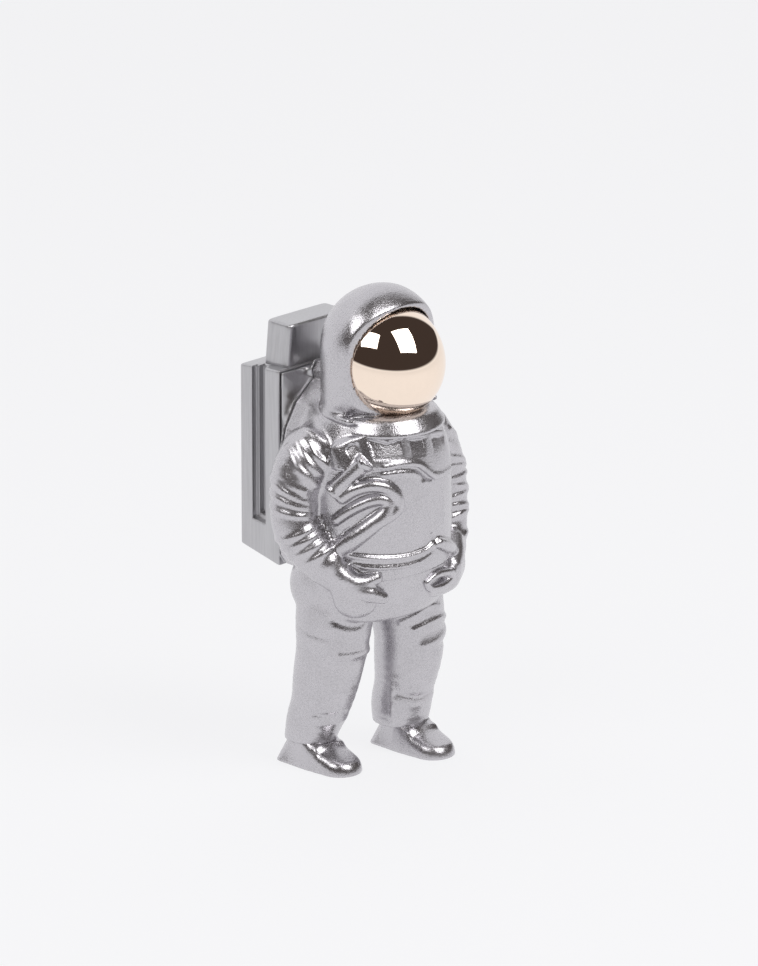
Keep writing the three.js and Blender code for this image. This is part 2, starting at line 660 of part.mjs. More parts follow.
/** Socket-head screw that holds the saddle to the pack's rib. */
function screw(z) {
  const face = SADDLE_FRONT + PIN_GAP / 2;
  const profile = [
    [0, face],
    [SCREW_HEAD_RADIUS, face],
    [SCREW_HEAD_RADIUS, face + SCREW_HEAD_HEIGHT],
    [SCREW_RADIUS, face + SCREW_HEAD_HEIGHT],
    [SCREW_RADIUS, face + SCREW_LENGTH - 0.4],
    [SCREW_RADIUS - 0.4, face + SCREW_LENGTH],
    [0, face + SCREW_LENGTH],
  ].map(([r, y]) => new THREE.Vector2(r, y));
  const body = solid(new THREE.LatheGeometry(profile, 20).translate(0, 0, z));
  const socket = rod(SCREW_SOCKET_RADIUS, 0, z, face - 1, face + SCREW_HEAD_HEIGHT * 0.7, 6);
  return body.subtract(socket);
}

// The assembly.

const figure = new THREE.Group();
figure.add(meshOf("suit_casting", suitCasting(), zinc));
figure.add(meshOf("visor", visorSolid(), roseGold));

const backpack = new THREE.Group();
backpack.add(meshOf("pack_shell", packShell(), satinZinc));
backpack.add(meshOf("pack_saddle", saddle(), satinZinc));
backpack.add(meshOf("pack_top_unit", topUnit(), satinZinc));

for (const [level, z] of Object.entries(magnetLevels())) {
  const bodyFace = BACK_PLANE - PIN_GAP;
  const packFace = SADDLE_FRONT + PIN_GAP;
  const bodyMagnet = magnet(0, z, bodyFace - BODY_MAGNET_THICKNESS, bodyFace);
  const packMagnet = magnet(0, z, packFace, packFace + PACK_MAGNET_THICKNESS);
  figure.add(meshOf("body_magnet_" + level, bodyMagnet, nickel));
  backpack.add(meshOf("pack_magnet_" + level, packMagnet, nickel));
}
for (const [side, x] of Object.entries(dowelPlaces())) {
  backpack.add(meshOf("dowel_" + side, dowel(x), steel));
}
for (const [level, z] of Object.entries(screwLevels())) {
  backpack.add(meshOf("saddle_screw_" + level, screw(z), steel));
}

// The origin is on the floor, under the middle of the statuette's depth.
const astronaut = new THREE.Group();
astronaut.add(figure, backpack);
astronaut.position.y = -new THREE.Box3().setFromObject(astronaut).getCenter(new THREE.Vector3()).y;

export default astronaut;
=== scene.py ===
"""Cast-metal astronaut statuette with a pull-off backpack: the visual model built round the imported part."""

import math

import bpy
import numpy as np
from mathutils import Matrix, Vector


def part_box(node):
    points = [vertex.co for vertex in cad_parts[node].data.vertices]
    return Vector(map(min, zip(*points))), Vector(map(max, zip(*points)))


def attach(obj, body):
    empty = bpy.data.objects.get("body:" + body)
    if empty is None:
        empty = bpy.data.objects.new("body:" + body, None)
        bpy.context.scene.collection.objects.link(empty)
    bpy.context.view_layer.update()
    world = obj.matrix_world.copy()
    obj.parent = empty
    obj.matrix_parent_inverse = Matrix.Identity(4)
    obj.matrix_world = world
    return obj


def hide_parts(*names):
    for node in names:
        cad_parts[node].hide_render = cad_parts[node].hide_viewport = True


bl_info = {
    "name": "Astronaut statuette",
    "version": (1, 0, 0),
    "blender": (4, 5, 0),
    "location": "View3D > Sidebar > Statuette",
    "description": "Builds a cast-metal astronaut with a mirror visor and a pull-off backpack",
    "category": "Add Mesh",
}

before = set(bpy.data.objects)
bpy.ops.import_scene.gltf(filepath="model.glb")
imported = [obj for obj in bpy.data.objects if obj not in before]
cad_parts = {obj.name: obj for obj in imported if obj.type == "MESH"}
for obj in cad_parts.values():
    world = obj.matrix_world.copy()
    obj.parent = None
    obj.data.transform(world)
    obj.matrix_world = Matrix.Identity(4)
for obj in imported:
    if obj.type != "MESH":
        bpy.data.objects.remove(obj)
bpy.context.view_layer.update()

# The figure's own frame is in millimetres: x to its left, y behind it, z up, on the floor between its feet.
SHELL_LOW, SHELL_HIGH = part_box("pack_shell")
PACK_WIDTH, PACK_DEPTH, PACK_HEIGHT = 24.0, 11.0, 40.5
UNIT = (SHELL_HIGH.z - SHELL_LOW.z) / PACK_HEIGHT  # metres in one millimetre of the figure
BACK_PLANE = 11.1  # the face that the backpack meets
SEAT_GAP = 0.3
SADDLE_FRONT = BACK_PLANE + SEAT_GAP
ORIGIN = np.array([
    (SHELL_LOW.x + SHELL_HIGH.x) / 2,
    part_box("pack_saddle")[0].y - SADDLE_FRONT * UNIT,
    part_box("suit_casting")[0].z,
])
RIGHT, LEFT = -1, 1

# Levels and centres of the figure.
HOOD_CENTRE = np.array([0, -3.6, 87.45])
VISOR_CENTRE = np.array([0, -4.9, 85.2])
HEM = 42.2
COLLAR_TOP = 75.0
WAISTBAND = 45.0
CUFF_LEVEL = 5.2
SADDLE_REAR = 13.65
PACK_FRONT = SADDLE_REAR + SEAT_GAP
PACK_REAR = PACK_FRONT + PACK_DEPTH
PACK_LOW = (SHELL_LOW.z - ORIGIN[2]) / UNIT
PACK_TOP = PACK_LOW + PACK_HEIGHT
PIN_LEVEL = (sum(corner.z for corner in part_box("dowel_left")) / 2 - ORIGIN[2]) / UNIT
MAGNET_LEVELS = [PIN_LEVEL - 8, PIN_LEVEL + 8]
SCREW_LEVELS = [PIN_LEVEL - 15, PIN_LEVEL + 15]
DOWEL_PLACES = [-9, 9]

# Radii of the pockets and holes, and how deep they run from the face that they open in.
MAGNET_POCKET = 3.12
DOWEL_HOLE = 1.32
SCREW_HEAD, SCREW_HOLE = 2.02, 1.12
BODY_MAGNET_DEPTH, BODY_DOWEL_DEPTH = 2.24, 3.74
PACK_MAGNET_DEPTH, SCREW_HEAD_DEPTH = 1.74, 1.32
PAST = 1.0  # how far a cut runs on beyond a face, so that it opens cleanly

FAR = 4.0  # what a local shape says of a point well outside it
TINY = 1e-6  # keeps a divisor off zero


# ---------------------------------------------------------------------------------------------------------
# Properties: what a user would change.


class StatuetteSizes(bpy.types.PropertyGroup):
    """Sizes of the figure and its backpack."""

    hood_radius: bpy.props.FloatProperty(
        name="Hood radius", description="Outside of the hood", default=12.5 * UNIT, unit="LENGTH")
    visor_radius: bpy.props.FloatProperty(
        name="Visor radius", description="Ball that the visor is cut from", default=11.5 * UNIT, unit="LENGTH")
    arm_radius: bpy.props.FloatProperty(
        name="Sleeve radius", description="Sleeve at the elbow", default=4.5 * UNIT, unit="LENGTH")
    relief: bpy.props.FloatProperty(
        name="Relief", description="Share of the full height of folds and seams", default=1.0, subtype="FACTOR")
    edge: bpy.props.FloatProperty(
        name="Edge radius", description="Rounding of the backpack's edges", default=0.45 * UNIT, unit="LENGTH")
    cell: bpy.props.FloatProperty(
        name="Mesh cell", description="Cell of the cast surfaces", default=0.33 * UNIT, unit="LENGTH")


class StatuetteColours(bpy.types.PropertyGroup):
    """Base colours of the finishes and of the floor."""

    zinc: bpy.props.FloatVectorProperty(
        name="Zinc", description="Tumbled alloy", size=3, default=(0.57, 0.555, 0.58), subtype="COLOR")
    satin: bpy.props.FloatVectorProperty(
        name="Satin zinc", description="Backpack", size=3, default=(0.53, 0.525, 0.54), subtype="COLOR")
    rose_gold: bpy.props.FloatVectorProperty(
        name="Rose gold", description="Visor's plating", size=3, default=(0.98, 0.83, 0.70), subtype="COLOR")
    nickel: bpy.props.FloatVectorProperty(
        name="Nickel", description="Magnets' plating", size=3, default=(0.66, 0.63, 0.58), subtype="COLOR")
    steel: bpy.props.FloatVectorProperty(
        name="Steel", description="Dowels and screws", size=3, default=(0.5, 0.5, 0.52), subtype="COLOR")
    floor: bpy.props.FloatVectorProperty(
        name="Floor", description="Pale floor", size=3, default=(0.93, 0.93, 0.945), subtype="COLOR")


# ---------------------------------------------------------------------------------------------------------
# Distance formulas. Each takes points as rows and returns how far outside the shape each one is.


def smooth_union(a, b, k):
    """The nearer of two distances, blended over a width k with a parabola where they are alike."""
    h = np.clip(0.5 + 0.5 * (b - a) / k, 0, 1)
    return b * (1 - h) + a * h - k * h * (1 - h)


def smooth_overlap(a, b, k):
    """The farther of two distances, blended over a width k: what both shapes hold."""
    return -smooth_union(-a, -b, k)


def smooth_cut(a, b, k):
    """Shape a without shape b, the edge rounded over a width k."""
    return smooth_overlap(a, -b, k)


def ball(p, centre, radius):
    """Distance to a ball."""
    return np.linalg.norm(p - centre, axis=1) - radius


def ellipsoid(p, centre, radii):
    """The length of the point scaled by the radii, less one, over the length of its gradient."""
    q = (p - centre) / radii
    size = np.linalg.norm(q, axis=1)
    slope = np.linalg.norm(q / radii, axis=1)
    return size * (size - 1) / np.maximum(slope, TINY)


def rounded_box(p, low, high, edge):
    """Distance to a box, its edges rounded with a radius."""
    low, high = np.array(low, float) + edge, np.array(high, float) - edge
    q = np.abs(p - (low + high) / 2) - (high - low) / 2
    return np.linalg.norm(np.maximum(q, 0), axis=1) + np.minimum(q.max(axis=1), 0) - edge


def bored(d, p, x, z, radius, y0, y1):
    """A shape with a round bore along y, from y0 to y1, taken out of it."""
    across = np.hypot(p[:, 0] - x, p[:, 2] - z) - radius
    return np.maximum(d, -np.maximum(across, np.maximum(y0 - p[:, 1], p[:, 1] - y1)))


def curve_through(rows, count):
    """Rows on a Catmull-Rom curve through the given rows: cubic between each two, its slope at each row
    half the step between its neighbours."""
    rows = np.asarray(rows, float)
    ends = np.vstack([2 * rows[0] - rows[1], rows, 2 * rows[-1] - rows[-2]])
    at = np.linspace(0, len(rows) - 1, count)
    i = np.minimum(at.astype(int), len(rows) - 2)
    t = (at - i)[:, None]
    a, b, c, d = ends[i], ends[i + 1], ends[i + 2], ends[i + 3]
    square = a - 2.5 * b + 2 * c - d / 2
    cube = 1.5 * b - a / 2 - 1.5 * c + d / 2
    return b + t * (c - a) / 2 + t**2 * square + t**3 * cube


def locally(p, low, high, reach, formula, outside=FAR):
    """A formula worked out only for the points within reach of a box, and one value for the others."""
    near = np.all((p > np.asarray(low) - reach) & (p < np.asarray(high) + reach), axis=1)
    value = np.full(len(p), float(outside))
    if near.any():
        value[near] = formula(p[near])
    return value


def tube(p, rows, count=0, reach=FAR):
    """Distance to a round tube along a path of rows [x, y, z, radius]: the least over its straight steps of
    the distance to the step less the radius there. A count above 0 draws a smooth curve through the rows."""
    rows = curve_through(rows, count) if count else np.asarray(rows, float)
    widest = rows[:, 3].max()

    def formula(q):
        best = np.full(len(q), FAR * 2)
        for a, b in zip(rows[:-1], rows[1:]):
            step = b[:3] - a[:3]
            t = np.clip((q - a[:3]) @ step / (step @ step), 0, 1)
            apart = np.linalg.norm(q - a[:3] - t[:, None] * step, axis=1)
            best = np.minimum(best, apart - a[3] - t * (b[3] - a[3]))
        return best

    return locally(p, rows[:, :3].min(0) - widest, rows[:, :3].max(0) + widest, reach, formula)


def line_distance(q, rows):
    """The least distance to the straight steps between rows, no more than FAR."""
    best = np.full(len(q), FAR)
    for a, b in zip(rows[:-1], rows[1:]):
        step = b - a
        t = np.clip((q - a) @ step / (step @ step), 0, 1)
        best = np.minimum(best, np.linalg.norm(q - a - t[:, None] * step, axis=1))
    return best


RIDGE_REACH = 2.4  # widths from a fold's line to where its bell curve has died away
RING_FADE = 0.25  # share of a ring fold's reach over which it fades out


def ridge(p, points, height, width):
    """How far a fold lifts the surface: its height times a bell curve of the distance to a smooth line."""
    rows = curve_through(points, 3 * len(points)) if len(points) > 2 else np.asarray(points, float)

    def bell(q):
        return height * np.exp(-((line_distance(q, rows) / width) ** 2))

    return locally(p, rows.min(0), rows.max(0), RIDGE_REACH * width, bell, outside=0.0)


def folded(d, p, folds, relief):
    """A shape lifted by folds, each given as its points, height and width. A height below 0 sinks a crease."""
    for points, height, width in folds:
        d = d - relief * ridge(p, points, height, width)
    return d


def ring_fold(p, centre, normal, height, width, reach):
    """A fold all round a limb: its height times a bell curve of the distance to a plane across the limb."""
    normal = np.array(normal, float) / np.linalg.norm(normal)

    def bell(q):
        q = q - centre
        side = np.exp(-((q @ normal / width) ** 2))
        fade = np.clip((reach - np.linalg.norm(q, axis=1)) / (RING_FADE * reach), 0, 1)
        return height * side * fade

    return locally(p, centre, centre, reach, bell, outside=0.0)


def polygon(x, z, corners):
    """Signed distance to a flat outline: the nearest edge's distance, negative inside by the crossing rule."""
    corners = np.asarray(corners, float)
    best = np.full(len(x), np.inf)
    inside = np.zeros(len(x), bool)
    for (ax, az), (bx, bz) in zip(corners, np.roll(corners, -1, axis=0)):
        dx, dz = bx - ax, bz - az
        t = np.clip(((x - ax) * dx + (z - az) * dz) / (dx * dx + dz * dz), 0, 1)
        best = np.minimum(best, np.hypot(x - ax - t * dx, z - az - t * dz))
        if dz:
            inside ^= ((az > z) != (bz > z)) & (x < ax + (z - az) * dx / dz)
    return np.where(inside, -best, best)


# Torso: rows of level, half width, front and back.
TORSO = np.array([
    [29.5, 9.0, 7.6, 6.0],
    [31.0, 12.0, 10.0, 8.0],
    [33.5, 14.6, 12.2, 9.8],
    [38.0, 16.0, 13.7, 10.6],
    [44.8, 16.3, 14.3, 10.8],
    [53.4, 16.4, 14.6, 10.8],
    [62.0, 16.3, 14.2, 10.8],
    [66.5, 15.7, 13.5, 10.7],
    [70.0, 14.4, 12.7, 10.5],
    [73.0, 12.8, 12.0, 10.0],
    [75.5, 11.2, 11.2, 9.0],
])
SQUARENESS = 2.2
TORSO_SLOPE = 0.96  # the barrel's formula runs a little steep, and this brings it back to a distance
SILHOUETTE = 0.985  # the widest share of the half width that a detail on the front sits at


def girth(z):
    """Half width, front and back of the torso at each level, read between the rows with rounded steps."""
    dense = curve_through(TORSO, 120)
    return [np.interp(z, dense[:, 0], dense[:, i]) for i in (1, 2, 3)]


def torso(p):
    """A flattened barrel: r (1 - 1/q), with r the distance from the axis and q the superellipse of x and y."""
    x, y, z = p.T
    half, front, back = girth(z)
    depth = np.where(y < 0, front, back)
    q = ((np.abs(x) / half) ** SQUARENESS + (np.abs(y) / depth) ** SQUARENESS) ** (1 / SQUARENESS)
    return np.hypot(x, y) * (1 - 1 / np.maximum(q, 0.05)) * TORSO_SLOPE


def on_front(points, proud=0.0):
    """Points [x, z] put on the torso's front, as rows [x, y, z]."""
    points = np.asarray(points, float)
    x, z = points.T
    half, front, _ = girth(z)
    share = np.minimum(np.abs(x) / half, SILHOUETTE) ** SQUARENESS
    y = -front * (1 - share) ** (1 / SQUARENESS)
    out = np.stack([x / half, y / front], axis=1)
    out /= np.linalg.norm(out, axis=1)[:, None]
    return np.column_stack([x + proud * out[:, 0], y + proud * out[:, 1], z])


# Outline of the back face in x and z: the tongue behind the hood, the shoulders and the waist.
BACK_HALF = [
    (4.2, 82.0), (5.3, 80.2), (5.0, 78.6), (10.0, 74.6),
    (13.0, 69.6), (14.8, 61.6), (14.5, 43.6), (12.8, 41.2),
]
BACK_OUTLINE = BACK_HALF + [(-x, z) for x, z in reversed(BACK_HALF)]


# ---------------------------------------------------------------------------------------------------------
# Meshing of a distance formula.


BLOCK = 4  # cells along a block of the coarse pass
BLOCK_REACH = 1.35  # sides of a block from its middle to a surface that may cross it
SLOPE_STEP = 0.02
LEAST_SLOPE = 0.2  # square of the slope below which a vertex is not moved any farther


def net(field, low, high, cell):
    """Vertices and quads of the surface where the field is zero, one vertex in each cell that it crosses.

    A coarse pass finds the blocks near the surface, the field is worked out at the fine corners of those
    blocks only, each vertex starts at the mean of its cell's edge crossings, and it is then moved down the
    field's slope onto the surface.
    """
    low = np.asarray(low, float)
    blocks = np.ceil((np.asarray(high) - low) / (cell * BLOCK)).astype(int)
    axes = [low[i] + (np.arange(blocks[i]) + 0.5) * cell * BLOCK for i in range(3)]
    middle = np.stack(np.meshgrid(*axes, indexing="ij"), axis=-1).reshape(-1, 3)
    coarse = field(middle).reshape(blocks)
    near = np.abs(coarse) < cell * BLOCK * BLOCK_REACH
    corners = blocks * BLOCK + 1
    wanted = np.zeros(corners, bool)
    fine = near.repeat(BLOCK, 0).repeat(BLOCK, 1).repeat(BLOCK, 2)
    shifts = [(i, j, k) for i in (0, 1) for j in (0, 1) for k in (0, 1)]
    for i, j, k in shifts:
        wanted[i:i + fine.shape[0], j:j + fine.shape[1], k:k + fine.shape[2]] |= fine
    value = np.pad(coarse.repeat(BLOCK, 0).repeat(BLOCK, 1).repeat(BLOCK, 2), [(0, 1)] * 3, mode="edge")
    value = np.where(value < 0, -1.0, 1.0)
    places = np.argwhere(wanted)
    value[wanted] = field(low + places * cell)
    inside = value < 0
    size = corners - 1
    count = sum(inside[i:i + size[0], j:j + size[1], k:k + size[2]].astype(np.int8) for i, j, k in shifts)
    active = (count > 0) & (count < 8)
    cells = np.argwhere(active)
    at = {s: value[cells[:, 0] + s[0], cells[:, 1] + s[1], cells[:, 2] + s[2]] for s in shifts}
    total = np.zeros((len(cells), 3))
    crossings = np.zeros(len(cells))
    for axis in range(3):
        for s in shifts:
            if s[axis]:
                continue
            e = tuple(1 if i == axis else s[i] for i in range(3))
            a, b = at[s], at[e]
            crosses = (a < 0) != (b < 0)
            share = np.where(crosses, a / np.where(crosses, a - b, 1), 0)
            place = np.tile(np.array(s, float), (len(cells), 1))
            place[:, axis] = share
            total += place * crosses[:, None]
            crossings += crosses
    vertices = low + (cells + total / crossings[:, None]) * cell
    number = np.full(size, -1)
    number[tuple(cells.T)] = np.arange(len(cells))
    quads = []
    for axis in range(3):
        u, v = (axis + 1) % 3, (axis + 2) % 3
        step = [0, 0, 0]
        step[axis] = 1
        first = inside[:size[0], :size[1], :size[2]]
        second = inside[step[0]:size[0] + step[0], step[1]:size[1] + step[1], step[2]:size[2] + step[2]]
        edge = np.argwhere(first != second)
        edge = edge[(edge[:, u] > 0) & (edge[:, v] > 0)]
        back_u, back_v = np.zeros(3, int), np.zeros(3, int)
        back_u[u], back_v[v] = 1, 1
        around = [edge, edge - back_u, edge - back_u - back_v, edge - back_v]
        quad = np.stack([number[tuple(c.T)] for c in around], axis=1)
        leaving = first[tuple(edge.T)]
        quad[~leaving] = quad[~leaving][:, ::-1]
        quads.append(quad)
    quads = np.concatenate(quads)
    for _ in range(2):
        here = field(vertices)
        beside = [field(vertices + SLOPE_STEP * np.eye(3)[i]) for i in range(3)]
        slope = (np.stack(beside, axis=1) - here[:, None]) / SLOPE_STEP
        square = np.maximum((slope**2).sum(axis=1), LEAST_SLOPE)
        step = np.clip(here / square, -0.5 * cell, 0.5 * cell)
        vertices -= slope * step[:, None]
    return vertices, quads


def grid_faces(rows, columns):
    """Quads of a grid of points, row after row, the last column joined to the first."""
    r = np.arange(rows - 1)[:, None]
    c = np.arange(columns)[None, :]
    n = (c + 1) % columns
    corners = [r * columns + c, r * columns + n, (r + 1) * columns + n, (r + 1) * columns + c]
    return np.stack(corners, axis=-1).reshape(-1, 4)


def welded(vertices, faces):
    """Vertices at one place made one, and the faces without the corners that fell together."""
    _, first, index = np.unique(np.round(vertices, 5), axis=0, return_index=True, return_inverse=True)
    faces = index.reshape(-1)[faces]
    kept = []
    for face in faces.tolist():
        corners = [c for i, c in enumerate(face) if c != face[i - 1]]
        if len(set(corners)) > 2:
            kept.append(corners)
    return vertices[first], kept


def piece(name, vertices, faces, material, body, replaced):
    """A mesh object in the row's frame from points in the figure's millimetres, riding on a body."""
    mesh = bpy.data.meshes.new(name)
    faces = faces.tolist() if isinstance(faces, np.ndarray) else faces
    mesh.from_pydata((ORIGIN + np.asarray(vertices) * UNIT).tolist(), [], faces)
    mesh.update()
    mesh.polygons.foreach_set("use_smooth", np.full(len(mesh.polygons), True))
    mesh.materials.append(material)
    made = bpy.data.objects.new(name, mesh)
    bpy.context.scene.collection.objects.link(made)
    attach(made, body)
    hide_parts(*replaced)


def cast(name, field, low, high, cell, material, body, replaced):
    """A piece meshed from a distance formula."""
    vertices, quads = net(field, low, high, cell)
    piece(name, vertices, quads, material, body, replaced)


# ---------------------------------------------------------------------------------------------------------
# The suit's shapes.


BALL_OF_VISOR = 11.5  # the visor's radius as it is packed
RIM_PLACE, RIM_BOW, RIM_LEAN = -0.37, 0.25, 0.03  # shares of that radius
RIM_LIMIT = 1.1  # shares of the radius beyond which the rim runs straight
LIP = 0.42  # hood's lip outside the visor's ball
LIP_BLEND, RIM_EDGE = 1.0, 0.28
LIP_START, LIP_SPREAD = -9.5, 0.5  # behind this y the hood leaves the visor's ball by this share
HOOD_FOOT = 73.6
FLARE_RING, FLARE_LEVEL, FLARE_RADIUS = 12.0, 74.6, 0.75
FLARE_BLEND = 1.4
FLARE_END, FLARE_FADE = -6, 0.5  # in front of this y the flare thins out by this share
SLOPE_RADIUS, SLOPE_LEVEL, SLOPE_RUN = 9.9, 75.8, 0.7
SLOPE_TOP, SLOPE_FOOT = 75.3, 71.6
SLOPE_COSINE = 0.82  # makes the slope's formula a distance
SLOPE_EDGE, SLOPE_BLEND = 1.2, 0.35
VISOR_PLAY, RECESS_EDGE = 0.07, 0.15
VISOR_RECESS = 11.8  # nothing of the jacket comes nearer to the visor's centre


def rim_plane(p):
    """How far in front of the hood's rim a point is. The rim bows forward in the middle and leans a little."""
    x = np.clip(p[:, 0] / BALL_OF_VISOR, -RIM_LIMIT, RIM_LIMIT)
    z = np.clip((p[:, 2] - VISOR_CENTRE[2]) / BALL_OF_VISOR, -RIM_LIMIT, RIM_LIMIT)
    return VISOR_CENTRE[1] + BALL_OF_VISOR * (RIM_PLACE + RIM_BOW * x**2 + RIM_LEAN * z) - p[:, 1]


def hood(p, radius, visor_radius):
    """A ball on an upright cylinder, drawn in towards the visor in front, open in front of the rim."""
    q = p - HOOD_CENTRE
    q = np.column_stack([q[:, 0], q[:, 1], np.maximum(q[:, 2], 0)])
    shell = np.linalg.norm(q, axis=1) - radius
    reach = visor_radius + LIP + LIP_SPREAD * np.maximum(p[:, 1] - LIP_START, 0)
    shell = smooth_overlap(shell, ball(p, VISOR_CENTRE, reach), LIP_BLEND)
    return smooth_overlap(shell, rim_plane(p), RIM_EDGE)


def helmet(sizes):
    """The hood, its flared foot and the collar that slopes away below, round the visor's recess."""
    radius = sizes.hood_radius / UNIT
    visor_radius = sizes.visor_radius / UNIT

    def field(p):
        z = p[:, 2]
        around = np.hypot(p[:, 0], p[:, 1] - HOOD_CENTRE[1])
        d = np.maximum(hood(p, radius, visor_radius), HOOD_FOOT - z)
        thinner = FLARE_FADE * np.maximum(FLARE_END - p[:, 1], 0)
        flare = np.hypot(around - FLARE_RING, z - FLARE_LEVEL) - FLARE_RADIUS + thinner
        d = smooth_union(d, flare, FLARE_BLEND)
        slope = (around - SLOPE_RADIUS - SLOPE_RUN * (SLOPE_LEVEL - z)) * SLOPE_COSINE
        collar = smooth_overlap(slope, np.maximum(z - SLOPE_TOP, SLOPE_FOOT - z), SLOPE_EDGE)
        d = smooth_union(d, collar, SLOPE_BLEND)
        return smooth_cut(d, ball(p, VISOR_CENTRE, visor_radius + VISOR_PLAY), RECESS_EDGE)

    return field


ARMS = {
    # centres from the shoulder to the wrist, and how much wider or narrower than the elbow each is
    RIGHT: [[-14.6, 2.6, 66.8, 1.2], [-17.6, 2.4, 63.4, 0.9], [-19.7, 2.0, 58.6, 0], [-20.4, 0.9, 53.8, 0],
            [-19.4, -1.3, 49.8, -0.1], [-17.4, -4.4, 46.2, -0.4]],
    LEFT: [[14.6, -0.6, 65.6, 0.8], [17.6, -0.8, 61.6, 0.4], [19.7, -0.9, 56.4, 0], [20.4, -0.9, 50.6, -0.1],
           [19.9, -1.7, 45.6, -0.3], [18.2, -3.4, 41.4, -0.6]],
}
RING_REACH = 3.2  # how far beyond the sleeve's radius a ring fold is felt
RIGHT_RINGS = [
    # centre, normal, height, width
    [(-20.0, 1.8, 60.6), (0.35, -0.35, 1), 0.31, 0.66],
    [(-20.2, 1.4, 58.7), (0.25, -0.2, 1), 0.29, 0.60],
    [(-20.3, 1.2, 56.9), (0.1, -0.1, 1), 0.27, 0.60],
    [(-20.0, 0.2, 52.8), (-0.28, 0.35, 1), 0.32, 0.60],
    [(-19.7, -0.6, 51.0), (-0.30, 0.45, 1), 0.35, 0.60],
    [(-19.1, -1.6, 49.2), (-0.32, 0.55, 1), 0.36, 0.60],
    [(-18.3, -2.8, 47.3), (-0.34, 0.65, 1), 0.36, 0.62],
]
LEFT_RINGS = [
    [(18.6, -0.9, 59.2), (0.3, 0.2, 1), 0.36, 0.60],
    [(19.4, -0.9, 57.0), (0.1, 0.25, 1), 0.36, 0.60],
    [(20.0, -0.9, 54.8), (-0.1, 0.2, 1), 0.36, 0.58],
    [(20.4, -0.9, 52.6), (0.2, 0.25, 1), 0.37, 0.58],
    [(20.4, -1.0, 50.5), (-0.1, 0.3, 1), 0.37, 0.58],
    [(20.2, -1.3, 48.4), (0.15, 0.3, 1), 0.37, 0.58],
    [(19.6, -2.0, 46.3), (-0.1, 0.4, 1), 0.37, 0.58],
    [(18.3, -3.4, 41.2), (-0.3, 0.5, 1), 0.42, 0.72],
]
RIGHT_SHOULDER_FOLDS = [
    # points, height, width
    [[(-19.9, 3.2, 69.3), (-20.9, -0.9, 65.8), (-18.2, -3.2, 62.2)], 0.64, 0.75],
    [[(-18.9, 1.9, 70.1), (-19.3, -1.6, 67.2), (-17.3, -3.2, 64.4)], 0.55, 0.7],
    [[(-17.6, 0.8, 70.8), (-17.7, -2.2, 68.4), (-15.6, -3.6, 65.8)], 0.51, 0.7],
    [[(-21.4, 4.2, 65.6), (-22.3, 0.2, 62.8), (-20.6, -2.4, 61.2)], 0.38, 0.7],
    [[(-16.2, 3.0, 73.2), (-15.6, -0.4, 71.6), (-14.8, -2.6, 69.6)], 0.42, 0.8],
]
LEFT_SHOULDER_FOLDS = [
    [[(17.5, -5.2, 66.4), (20.2, -3.4, 64.2), (21.6, 0.4, 62.4)], 0.5, 0.7],
    [[(16.4, -5.4, 63.6), (19.4, -4.6, 61.6), (22.2, -1.4, 60.0)], 0.5, 0.7],
]


def sleeve(p, side, radius, relief):
    """A tube along the arm with folds all round it."""
    d = tube(p, np.array(ARMS[side]) + [0, 0, 0, radius], 22)
    for centre, normal, height, width in (RIGHT_RINGS if side == RIGHT else LEFT_RINGS):
        d = d - relief * ring_fold(p, np.array(centre), normal, height, width, radius + RING_REACH)
    return d


RIGHT_WRIST = [[-17.2, -4.8, 45.6, 3.7], [-15.9, -6.6, 43.4, 3.2], [-14.0, -8.2, 41.4, 2.2]]
RIGHT_PALM, RIGHT_PALM_RADII = (-11.0, -8.0, 39.4), (6.6, 3.7, 5.2)
RIGHT_FINGERS = [
    # rows, steps, width of the blend: the forefinger along the belt, then the finger below it
    ([[-17.2, -5.9, 46.2, 2.3], [-16.2, -7.9, 43.8, 2.4], [-14.6, -9.6, 42.5, 2.0], [-12.6, -11.0, 42.5, 1.6],
      [-10.6, -12.0, 43.2, 1.35]], 16, 0.6),
    ([[-15.2, -9.5, 41.3, 1.8], [-12.6, -11.4, 40.5, 1.8], [-9.6, -12.9, 39.1, 1.3]], 8, 0.6),
]
LEFT_WRIST = [[17.9, -3.8, 40.8, 3.7], [16.2, -5.6, 38.0, 3.5], [13.8, -7.6, 36.2, 2.7]]
LEFT_FINGERS = [
    # rows, steps, width of the blend: palm, curled forefinger, back of the hand and thumb
    ([[15.4, -6.4, 38.6, 3.4], [11.6, -9.4, 37.8, 3.2], [7.8, -10.9, 37.2, 2.4],
      [4.2, -12.0, 37.2, 1.6]], 12, 1.0),
    ([[1.9, -13.8, 39.6, 0.7], [4.8, -13.7, 40.6, 0.8], [9.2, -12.9, 39.9, 0.9], [10.6, -12.3, 38.6, 0.9],
      [7.6, -13.0, 37.6, 0.85], [3.4, -13.5, 38.0, 0.75], [1.9, -13.8, 39.6, 0.7]], 30, 0.5),
    ([[17.0, -5.6, 42.8, 2.8], [14.8, -8.2, 41.2, 2.7], [12.4, -10.2, 39.8, 2.4]], 8, 0.8),
    ([[13.0, -9.6, 43.0, 1.6], [9.6, -12.2, 45.0, 1.5], [6.6, -13.8, 46.6, 1.3],
      [4.6, -14.6, 47.6, 1.1]], 12, 0.5),
]


def with_fingers(d, p, fingers):
    """A glove with each of its fingers blended in."""
    for rows, steps, blend in fingers:
        d = smooth_union(d, tube(p, rows, steps), blend)
    return d


def right_glove(p):
    """Palm on the belly, a fat forefinger along the belt and a second finger below it."""
    palm = ellipsoid(p, RIGHT_PALM, RIGHT_PALM_RADII)
    return with_fingers(smooth_union(tube(p, RIGHT_WRIST, 8), palm, 1.6), p, RIGHT_FINGERS)


def left_glove(p):
    """Palm below the belt's end reaching on to the belly, a thumb up to the belt and a curled forefinger."""
    return with_fingers(tube(p, LEFT_WRIST, 8), p, LEFT_FINGERS)


